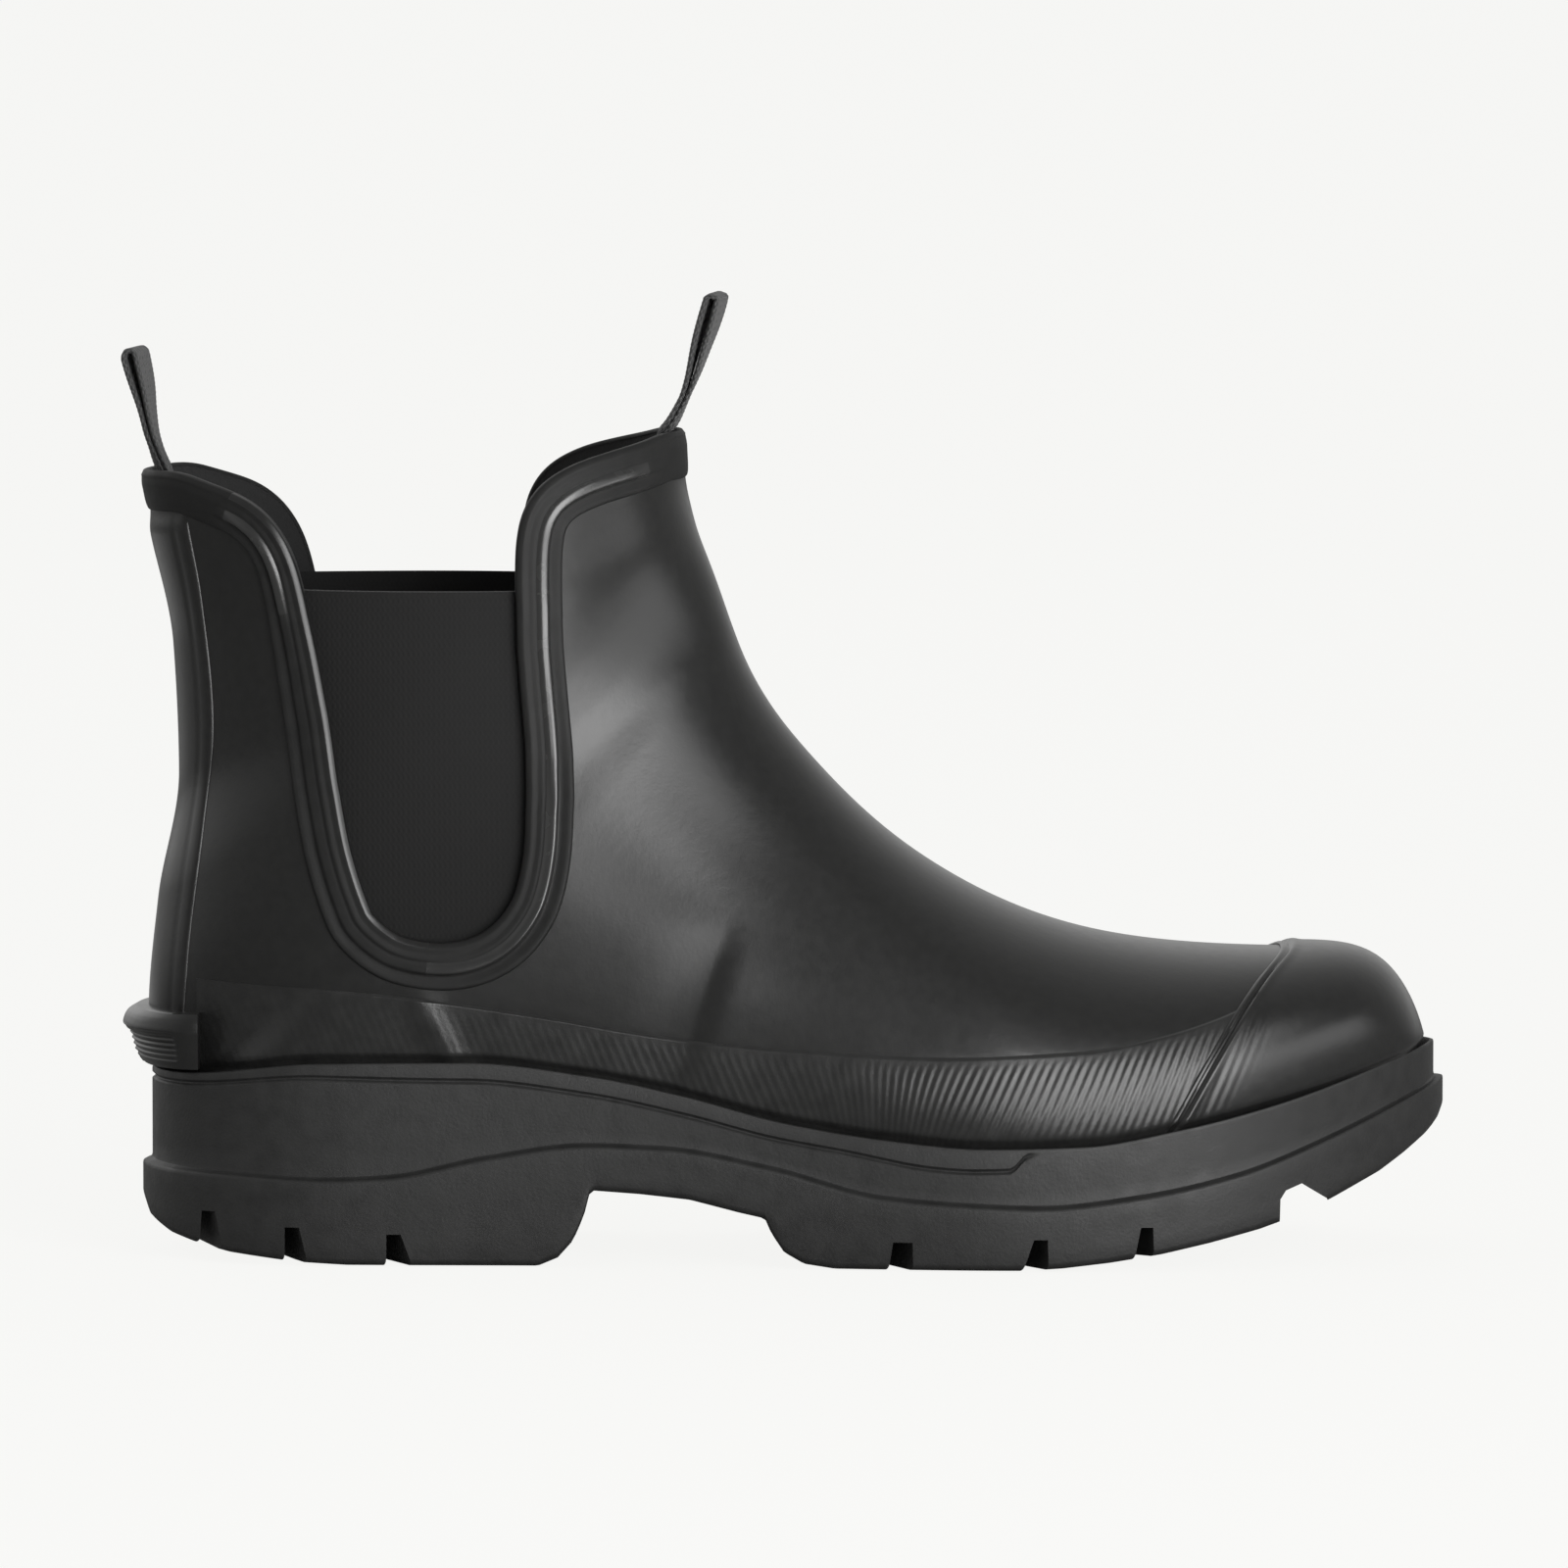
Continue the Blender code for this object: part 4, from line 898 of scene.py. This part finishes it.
def make_ledge():
    """Half rounds at each level, from the wall of the boot out to the ledge's face and over its flat top.

    Where the face would sink into the wall at its two ends, it is laid on the wall instead.
    """
    rows = np.array(LEDGE)
    level = np.linspace(0.0, len(rows) - 1.0, LEDGE_ROWS)
    z, back, half = (even(np.arange(len(rows)), rows[:, k], level) for k in range(3))
    angle = np.linspace(-np.pi / 2, np.pi / 2, LEDGE_COLUMNS)
    slope = ease(*LEDGE_FROM, level) * (1.0 - ease(*LEDGE_TO, level))
    border = 1.0 - ease(*LEDGE_BORDER, np.abs(angle))
    waves = np.sin(2.0 * np.pi * LEDGE_RIBS * (z - z[0]) / (rows[LEDGE_TOP, 0] - z[0]))
    push = ((LEDGE_RIB_HEIGHT * waves - LEDGE_SINK) * slope)[:, None] * border
    x = LEDGE_FRONT - (LEDGE_FRONT - back[:, None] + push) * np.cos(angle)
    levels = np.broadcast_to(z[:, None], x.shape)
    face = np.stack([x, (half[:, None] + push) * np.sin(angle), levels], axis=-1)
    rear_steps = np.arange(HEEL_END, COLLAR + 1)
    heel = even(section("foot_z", rear_steps), section("foot_x", rear_steps), z)
    wall_x = LEDGE_FRONT - (LEDGE_FRONT - heel[:, None]) * np.cos(angle)
    step, turn = on_last(wall_x, levels)
    wall = layer(step, np.where(angle < 0.0, -turn, turn), np.full(step.shape, -LEDGE_DEEP))
    lap = LEDGE_LAP * np.abs(np.sin(angle)) ** LEDGE_POWER
    sunk = np.abs(face[..., 1]) < np.abs(wall[..., 1]) + lap
    face[..., 1] = np.where(sunk, wall[..., 1] + np.sign(angle) * lap, face[..., 1])
    points, faces, _ = thick(face, wall, quads(grid_index(x.shape)))
    return piece("heel_ledge", points, faces, [BOOT_RUBBER], ["heel_spur"], sharp=50.0)


make_ledge()

# %% [markdown]
# ## Sole
# The sole is one moulding: a cup that holds the upper, a side wall with a fine line under its rim, a
# tread layer that stands a little proud, heel, arch, toe spring and lugs. Its outside is one grid:
# columns go round the plan outline and rows go from the floor of the cup over the rim and down the wall
# to the middle of the tread. The lug grooves cut straight through it, so a Boolean suits them, because
# their walls are flat and their edges sharp.

# %% Sole outline and levels
TREAD_PLAN = np.array([
    (-0.5, 0.0), (2.0, 13.0), (8.0, 25.0), (18.0, 33.7), (32.0, 39.2), (50.0, 41.6), (75.0, 41.4),
    (105.0, 41.0), (135.0, 42.4), (165.0, 47.0), (190.0, 51.8), (208.0, 54.0), (225.0, 54.1),
    (245.0, 52.0), (262.0, 46.6), (275.0, 39.0), (286.0, 29.6), (294.0, 20.6), (299.5, 11.2),
    (301.8, 0.0),
])
TREAD_EDGE = [
    (-0.5, 20.6), (19.0, 20.3), (42.0, 19.4), (57.5, 20.1), (80.0, 24.6), (103.0, 27.6), (121.0, 27.0),
    (146.0, 22.6), (171.0, 16.3), (194.0, 14.6), (207.5, 14.2), (230.0, 16.5), (253.0, 21.2), (270.0, 27.0),
    (285.0, 32.8), (294.0, 36.4), (301.8, 39.5),
]
GROUND = np.array([
    (-0.5, 11.8), (1.6, 8.3), (7.0, 5.6), (13.0, 4.0), (21.0, 2.3), (36.0, 0.6), (48.0, 0.0), (92.0, 0.0),
    (96.5, 1.9), (100.0, 5.8), (102.5, 11.5), (104.0, 17.4), (115.5, 16.6), (126.8, 15.4), (138.0, 12.6),
    (144.0, 11.3), (145.5, 7.9), (148.4, 3.6), (153.0, 1.0), (160.0, 0.0), (203.0, 0.0), (212.0, 0.5),
    (223.0, 1.7), (235.0, 3.5), (246.0, 5.8), (257.5, 8.5), (266.0, 11.1), (274.5, 14.5), (280.0, 17.0),
    (286.0, 19.7), (291.6, 23.1), (297.0, 26.8), (300.3, 29.6), (301.8, 31.6),
])
LINE_DROP = [
    (-0.5, 2.3), (17.0, 2.5), (76.0, 4.3), (126.0, 4.4), (160.0, 4.1), (182.0, 5.4), (200.0, 5.1),
    (204.5, 1.6), (302.0, 1.6),
]
LINE_DEPTH, LINE_END = 0.7, (203.5, 206.0)
RIM_INSET, CUP_INSET, WALL_INSET, FLOOR_INSET, TREAD_INSET = 2.2, 5.6, 6.2, 9.5, 1.6
FLOOR_DOWN, WALL_RISE, CUP_DROP = 0.5, 2.0, 3.4
CUP_SHARES, TREAD_SHARES, BETWEEN = (0.0, 0.35, 0.7, 1.0), (1.0, 0.8, 0.6, 0.4, 0.2, 0.0), (0.25, 0.5, 0.75)
# Rows over the rim: inset beyond the rim's, drop. Rows of the fine line: rise, share of its depth
RIM_ROWS = [(2.9, 3.2), (2.1, 2.2), (1.4, 0.9), (0.95, 0.2), (0.6, 0.02), (0.18, 0.2), (0.0, 0.7)]
LINE_ROWS = [(0.75, 0.0), (0.5, 0.25), (0.2, 0.9), (0.0, 1.0), (-0.2, 0.9), (-0.5, 0.25), (-0.75, 0.0)]
# Rows of the tread layer's edge and of the ground's rounding: inset, rise
EDGE_ROWS = [(2.2, 1.3), (2.05, 0.7), (1.6, 0.3), (0.9, 0.1), (0.35, -0.15), (0.08, -0.5), (0.0, -1.0)]
GROUND_ROWS = [(0.0, 1.6), (0.12, 1.0), (0.47, 0.47), (1.0, 0.12)]
SOLE_HALF, SOLE_SHARP = 340, 32.0


def sole_point(plan, normal, inset, share, level):
    """Point on the plan drawn in by the inset, its width scaled by the share, at the level for its own x."""
    x = plan[:, 0] - inset * normal[:, 0]
    half = np.maximum(plan[:, 1] - inset * normal[:, 1], 0.0) * share
    half[[0, -1]] = 0.0
    return np.stack([x, half, level(x)], axis=1)


def sole_rows():
    """Inset, share of the width, level and groove depth of each row, from the cup's floor to the tread."""
    steps = np.linspace(HEEL_END, 0.0, 300)

    def floor(x):
        return np.interp(x, section("foot_x", steps), section("foot_z", steps)) - FLOOR_DOWN

    def rim(x):
        return along(RIM, x)

    def edge(x):
        return along(TREAD_EDGE, x)

    def line(x):
        return rim(x) - along(LINE_DROP, x)

    def ground(x):
        return np.interp(x, GROUND[:, 0], GROUND[:, 1])

    def row(inset, level, rise=0.0, share=1.0, deep=0.0):
        return inset, share, (lambda x: level(x) + rise), deep

    def between(above, below):
        return [row(above[0], lambda x, p=part: above[2](x) * (1 - p) + below[2](x) * p) for part in BETWEEN]

    cup = [row(FLOOR_INSET, floor, share=share) for share in CUP_SHARES]
    cup += [row(WALL_INSET, floor, WALL_RISE), row(CUP_INSET, rim, -CUP_DROP)]
    lip = [row(RIM_INSET + over, rim, -drop) for over, drop in RIM_ROWS]
    groove = [row(RIM_INSET, line, rise, deep=deep) for rise, deep in LINE_ROWS]
    layer_edge = [row(inset, edge, rise) for inset, rise in EDGE_ROWS]
    foot = [row(inset, ground, rise) for inset, rise in GROUND_ROWS]
    tread = [row(TREAD_INSET, ground, share=share) for share in TREAD_SHARES]
    upper_wall, lower_wall = between(groove[-1], layer_edge[0]), between(layer_edge[-1], foot[0])
    return cup + lip + groove + upper_wall + layer_edge + lower_wall + foot + tread


def sole_grid():
    """Rows by columns of points; columns run along the outer side to the toe and back by the inner side."""
    fine = smooth_line(TREAD_PLAN, SOLE_HALF + 1)
    normal = side_of(fine)
    normal[0], normal[-1] = (-1.0, 0.0), (1.0, 0.0)
    shown = LINE_DEPTH * (1.0 - ease(*LINE_END, fine[:, 0]))
    grid = []
    for inset, share, level, deep in sole_rows():
        row = sole_point(fine, normal, inset + deep * shown, share, level)
        both = np.concatenate([row * (1, -1, 1), row[-2:0:-1]])
        both[:, 1] += swing(both[:, 0], np.zeros(len(both)))
        grid.append(both)
    print("sole grid", len(grid), "rows of", len(grid[0]))
    return np.array(grid)


# %% Lug grooves
# Each groove: x at the sole's edge, width at its foot and at its top, height of its top, lean
GROOVES = [
    (15.6, 4.4, 2.2, 11.6, 0.6), (35.2, 4.8, 3.0, 8.6, 0.9), (58.4, 6.2, 3.2, 7.2, 1.3),
    (174.1, 5.0, 4.2, 6.4, -0.4), (207.0, 6.2, 3.2, 7.2, -1.2), (232.2, 5.4, 3.0, 9.8, -0.9),
]
GROOVE_SKEW, GROOVE_FOOT, GROOVE_FLARE = 0.45, -4.0, 0.6
GROOVE_FROM, GROOVE_TO, HEEL_GROOVE_FROM, HEEL_GROOVE_X = 2.0, 75.0, 8.0, 20.0
TOE_NOTCH = [(262.0, 3.0), (262.3, 15.2), (263.6, 17.2), (267.3, 18.6), (273.4, 14.6), (274.6, 3.0)]
NOTCH_REACH, CHANNEL_FOOT = 80.0, -5.0
# Each channel: x of both ends, half width, height
CHANNELS = [(26.0, 84.0, 4.0, 5.0), (164.0, 246.0, 4.0, 5.0)]


def bar(name, near, far):
    """Closed bar between two outlines with the same number of corners, as a cutter."""
    mesh = bpy.data.meshes.new(name)
    count = len(near)
    sides = [(i, (i + 1) % count, count + (i + 1) % count, count + i) for i in range(count)]
    ends = [tuple(range(count)), tuple(range(2 * count - 1, count - 1, -1))]
    mesh.from_pydata((np.concatenate([near, far]) - ORIGIN) * MM, [], sides + ends)
    form = bmesh.new()
    form.from_mesh(mesh)
    bmesh.ops.recalc_face_normals(form, faces=form.faces)
    form.to_mesh(mesh)
    form.free()
    return add_object(name, mesh)


def sole_cutters():
    """Wedges that run in from each side towards the heel, the notch under the toe and two long channels."""
    cutters = []
    for side in (-1.0, 1.0):
        for x, foot_width, top_width, top_z, lean in GROOVES:
            edge = np.interp(x, TREAD_PLAN[:, 0], TREAD_PLAN[:, 1])
            start = GROOVE_FROM if x > HEEL_GROOVE_X else HEEL_GROOVE_FROM
            ends = []
            for reach in (start, GROOVE_TO):
                middle = x - GROOVE_SKEW * (edge - reach)
                low = middle + lean * (top_z - GROOVE_FOOT) / top_z
                wide, narrow = GROOVE_FLARE * foot_width, top_width / 2
                corners = [(low - wide, GROOVE_FOOT), (low + wide, GROOVE_FOOT)]
                corners += [(middle + narrow, top_z), (middle - narrow, top_z)]
                ends.append(np.insert(np.array(corners), 1, side * reach, axis=1))
            cutters.append(bar("groove", *ends))
    ends = [np.insert(np.array(TOE_NOTCH), 1, y, axis=1) for y in (-NOTCH_REACH, NOTCH_REACH)]
    cutters.append(bar("notch", *ends))
    for x_from, x_to, half, top in CHANNELS:
        across = np.array([(-half, CHANNEL_FOOT), (half, CHANNEL_FOOT), (half, top), (-half, top)])
        cutters.append(bar("channel", *(np.insert(across, 0, x, axis=1) for x in (x_from, x_to))))
    print("cutters", len(cutters))
    return cutters


# %% Make the sole


def make_sole():
    """Closed grid of the moulding, with the lug grooves cut out."""
    grid = sole_grid()
    faces = quads(grid_index(grid.shape), around=True)
    finishes = [SOLE_RUBBER]
    sole = piece("lugged_sole", grid, faces[:, ::-1], finishes, ["outsole"], sharp=SOLE_SHARP)
    cutters = sole_cutters()
    for cutter in cutters:
        cut = sole.modifiers.new("cut", "BOOLEAN")
        cut.operation, cut.solver, cut.object = "DIFFERENCE", "EXACT", cutter
    ready = sole.evaluated_get(bpy.context.evaluated_depsgraph_get())
    mesh = bpy.data.meshes.new_from_object(ready)
    sole.modifiers.clear()
    sole.data = mesh
    for cutter in cutters:
        bpy.data.objects.remove(cutter)
    mesh.shade_smooth()
    mesh.set_sharp_from_angle(angle=np.radians(SOLE_SHARP))
    print("sole after cutting:", len(mesh.polygons), "faces")
    return sole


make_sole()

# %% [markdown]
# ## Insole
# A foam foot bed with a cloth face drops into the cup. It only shows from above, through the collar, so a
# simple crowned pad does: it follows the floor of the sole and its edge is rounded over.

# %% Make the insole
INSOLE_THICK, INSOLE_INSET, INSOLE_END, INSOLE_LEAST = 4.0, 3.9, 0.06, 0.3
INSOLE_COLUMNS, INSOLE_ROUND, SIDE_POWER, FACE_POWER = 161, 72, 0.45, 0.35


def make_insole():
    """Columns from heel to toe, rows round the pad: a flat underside, a rounded edge and a crowned top."""
    steps = np.linspace(HEEL_END, 0.0, 400)
    foot_x, foot_z = section("foot_x", steps), section("foot_z", steps)
    line = smooth_line(np.stack([foot_x, section("edge_width", steps)], axis=1)[::8], len(steps))
    inner = line - INSOLE_INSET * side_of(line)
    part = (1.0 - np.cos(np.linspace(INSOLE_END, np.pi - INSOLE_END, INSOLE_COLUMNS))) / 2.0
    x = inner[0, 0] + (inner[-1, 0] - inner[0, 0]) * part
    half = np.interp(x, inner[:, 0], np.maximum(inner[:, 1], INSOLE_LEAST))
    floor = np.interp(x, foot_x, foot_z) + GAP
    angle = np.linspace(0.0, 2.0 * np.pi, INSOLE_ROUND, endpoint=False)
    across, rise = np.sin(angle), np.cos(angle)
    across = np.sign(across) * np.abs(across) ** SIDE_POWER
    rise = np.sign(rise) * np.abs(rise) ** FACE_POWER
    y = half[:, None] * across
    z = floor[:, None] + INSOLE_THICK * (0.5 + 0.5 * rise)
    grid = np.stack([np.broadcast_to(x[:, None], y.shape), y + swing(x, floor)[:, None], z], axis=-1)
    faces = tube(grid_index(y.shape))
    pad = piece("foot_bed", grid, faces, [FOOT_CLOTH], ["insole"], uv=grid[..., :2])
    return pad


make_insole()

# %% [markdown]
# ## Pull loops
# Each loop is a length of webbing folded over and sewn inside the collar. The tape is a section carried
# along the folded path: up, round the fold and down again. The tape is wound a little round its own
# height, as a soft loop is, so its face shows from the side. The threads are raised in the mesh, because
# the loops stand against the light background.

# %% Make the pull loops
LOOP_WIDTH, TAPE, LOOP_POINTS, LOOP_ACROSS = 18.0, 1.15, 260, 46
# Rows of each loop from its sewn end to its fold: z, x, half of the folded thickness
FRONT_LOOP = [
    (174.6, 120.3, 1.2), (186.0, 120.9, 1.2), (189.7, 121.5, 1.15), (192.1, 123.2, 1.15),
    (197.6, 125.5, 1.2), (203.0, 127.5, 1.5), (208.5, 129.1, 1.8), (214.0, 130.8, 2.0),
    (219.8, 132.5, 1.9),
]
BACK_LOOP = [
    (167.6, 8.2, 1.2), (174.6, 5.6, 1.2), (180.4, 4.3, 1.2), (183.9, 3.2, 1.2), (189.4, 2.0, 1.3),
    (194.9, 1.0, 1.4), (200.3, -0.1, 1.8), (205.8, -1.4, 2.0), (207.2, -1.6, 1.9),
]
LOOP_TWIST, LOOP_BOW, BOW_RISE, EDGE_POWER = 0.135, 1.25, 10.0, 16
THREAD, THREAD_HEIGHT = 2.2, 0.09
FOLD_ANGLES = np.radians((-45.0, 0.0, 45.0))


def make_loop(name, node, rows, facing):
    """Tape along its folded path; above the collar it is twisted, and below it bows with the wall."""
    z, x, half = np.array(rows).T
    out = half - TAPE / 2.0
    top = np.stack([x[-1] + out[-1] * np.sin(FOLD_ANGLES), z[-1] + out[-1] * np.cos(FOLD_ANGLES)], axis=1)
    drawn = np.concatenate([np.stack([x - out, z], axis=1), top, np.stack([x + out, z], axis=1)[::-1]])
    path = smooth_line(drawn, LOOP_POINTS)
    normal = side_of(path)
    length = np.linspace(0.0, run_along(path)[-1], len(path))
    side = LOOP_WIDTH / 2
    flat = np.linspace(-side, side, LOOP_ACROSS)
    across = np.concatenate([flat, flat[::-1]])
    face = np.repeat([1.0, -1.0], len(flat))
    edge = np.sqrt(np.clip(1.0 - (np.abs(across) / side) ** EDGE_POWER, 0.0, 1.0))
    pitch = 2.0 * np.pi / THREAD
    wave = np.sin(pitch * (length[:, None] + across)) * np.sin(pitch * (length[:, None] - across))
    lift = face * edge * (TAPE / 2.0 + THREAD_HEIGHT * wave)
    px, pz = (path[:, [k]] + normal[:, [k]] * lift for k in (0, 1))
    twist = LOOP_TWIST * ease(z[3], z[-1], pz)
    bow = facing * LOOP_BOW * (across / side) ** 2 * (1.0 - ease(z[2], z[2] + BOW_RISE, pz))
    wide = np.broadcast_to(across, px.shape)
    grid = np.stack([px + across * twist + bow, wide, pz], axis=-1)
    uv = np.stack([wide, np.broadcast_to(length[:, None], px.shape)], axis=-1)
    faces = tube(grid_index(px.shape))
    loop = piece(name, grid, faces, [WEBBING], [node], uv=uv, sharp=60.0)
    return loop


make_loop("webbing_loop_front", "pull_loop_front", FRONT_LOOP, -1.0)
make_loop("webbing_loop_back", "pull_loop_back", BACK_LOOP, 1.0)

# %% [markdown]
# ## Stage, light and camera
# The photo is a studio shot on a nearly white ground. A key box and a low box stand on the camera's side,
# a little towards the toe: they make the long highlight on the side of the shaft. A side box and an upper
# box further round light the front of the shaft, the instep and the toe. A sheet on the floor before the
# ball brings up the band. Behind, a dim sheet, a dim box and a lighter world keep the heel from going
# black. The floor glows for the camera only, so it stays pale and even while the boot still reflects a
# quiet studio.

# %% Stage and light
PALE, QUIET = (0.92, 0.92, 0.905, 1.0), (1.0, 1.0, 0.99, 1.0)
FLOOR_MATTE, FLOOR_PAPER, FLOOR_GLOW = (0.34, 0.34, 0.336, 1.0), (0.06, 0.06, 0.06, 1.0), 0.97
FLOOR_HALF, FLOOR_DROP = 60.0, 0.0004
LIGHT_SIDE, WORLD_ENDS, WORLD_LIGHT = (-0.64, 0.77, 0.0), (-0.8, 0.7), (0.07, 0.76)
# Each light: name, azimuth and rise in degrees, distance, size, radiance, and its aim if not the boot
SOFT_BOXES = [
    ("key box", 28.0, 11.5, 2.3, (1.2, 1.25), 8.0),
    ("low box", 7.0, 5.0, 2.3, (0.75, 0.45), 4.6),
    ("side box", 64.0, 7.0, 2.3, (1.9, 0.85), 2.3),
    ("upper box", 42.0, 33.5, 2.3, (0.8, 0.75), 3.2),
    ("bounce sheet", 0.0, -90.0, 0.006, (0.27, 0.8), 7.6, (0.145, -0.6, 0.01)),
    ("rear sheet", 0.0, -90.0, 0.006, (0.7, 0.9), 0.3, (-0.5, 0.75, 0.01)),
    ("back box", 215.0, 25.0, 2.4, (2.0, 1.4), 0.35),
]


def only_for_camera(tree, seen, hidden, end):
    """Mixes two shaders by whether a ray comes straight from the camera, into the end node's surface."""
    straight = add_node(tree, "LightPath", {}).outputs["Is Camera Ray"]
    mix = add_node(tree, "MixShader", {"Fac": straight, 1: hidden.outputs[0], 2: seen.outputs[0]})
    join(tree, tree.nodes[end], {"Surface": mix.outputs[0]})


def make_floor():
    """Wide sheet just under the boot that glows for the camera and is matte for all other rays."""
    mesh = bpy.data.meshes.new("floor")
    corners = FLOOR_HALF * np.array([(-1, -1, 0), (1, -1, 0), (1, 1, 0), (-1, 1, 0)], float)
    mesh.from_pydata(corners - (0.0, 0.0, FLOOR_DROP), [], [(0, 1, 2, 3)])
    material = bpy.data.materials.new("pale floor")
    material.use_nodes = True
    tree = material.node_tree
    tree.nodes.remove(tree.nodes["Principled BSDF"])
    matte = add_node(tree, "BsdfDiffuse", {"Color": FLOOR_MATTE})
    paper = add_node(tree, "BsdfDiffuse", {"Color": FLOOR_PAPER})
    glow = add_node(tree, "Emission", {"Color": PALE, "Strength": FLOOR_GLOW})
    both = add_node(tree, "AddShader", {0: paper.outputs[0], 1: glow.outputs[0]})
    only_for_camera(tree, both, matte, "Material Output")
    mesh.materials.append(material)
    add_object("floor", mesh)


def make_world():
    """Studio all round: dim before the toe, lighter behind the heel, and pale where the camera sees it."""
    world = bpy.data.worlds.new("studio")
    world.use_nodes = True
    tree = world.node_tree
    bright = add_node(tree, "Background", {"Color": PALE})
    place = add_node(tree, "TexCoord", {}).outputs["Generated"]
    facing = add_node(tree, "VectorMath", {0: place, 1: LIGHT_SIDE}, "DOT_PRODUCT").outputs["Value"]
    strength = spread(tree, facing, WORLD_ENDS, WORLD_LIGHT)
    quiet = join(tree, tree.nodes["Background"], {"Color": QUIET, "Strength": strength})
    only_for_camera(tree, bright, quiet, "World Output")
    bpy.context.scene.world = world


def soft_box(name, azimuth, rise, distance, size, radiance, aim=(0.0, 0.0, 0.1)):
    """Area light at an azimuth from the camera's side, turned to +X, and a rise; it looks at the aim."""
    light = bpy.data.lights.new(name, "AREA")
    light.shape = "RECTANGLE"
    light.size, light.size_y = size
    light.energy = radiance * np.pi * size[0] * size[1]
    box = add_object(name, light)
    a, r = np.radians(azimuth), np.radians(rise)
    way = np.array([np.sin(a) * np.cos(r), -np.cos(a) * np.cos(r), np.sin(r)])
    box.location = np.array(aim) + distance * way
    box.rotation_euler = Vector(way).to_track_quat("Z", "Y").to_euler()
    box.visible_camera = False


make_floor()
make_world()
for row in SOFT_BOXES:
    soft_box(*row)

# %% Camera
CAMERA_PLACE, CAMERA_AIM = (0.0, -3.2, 0.352), (0.0, 0.0, 0.1076)
SENSOR, FRAME_WIDTH, CLIP_END = 36.0, 0.36364, 200.0


def make_camera():
    """Long lens from the photo's place: the frame's width at the aim gives the focal length."""
    data = bpy.data.cameras.new("camera")
    camera = add_object("camera", data)
    camera.location = CAMERA_PLACE
    view = np.subtract(CAMERA_AIM, CAMERA_PLACE)
    camera.rotation_euler = Vector(view).to_track_quat("-Z", "Y").to_euler()
    data.sensor_width = SENSOR
    data.lens = SENSOR * np.linalg.norm(view) / FRAME_WIDTH
    data.clip_end = CLIP_END
    bpy.context.scene.camera = camera
    return data


lens = make_camera().lens
bpy.context.scene.view_settings.view_transform = "Standard"
print("lens", round(lens, 1), "mm")
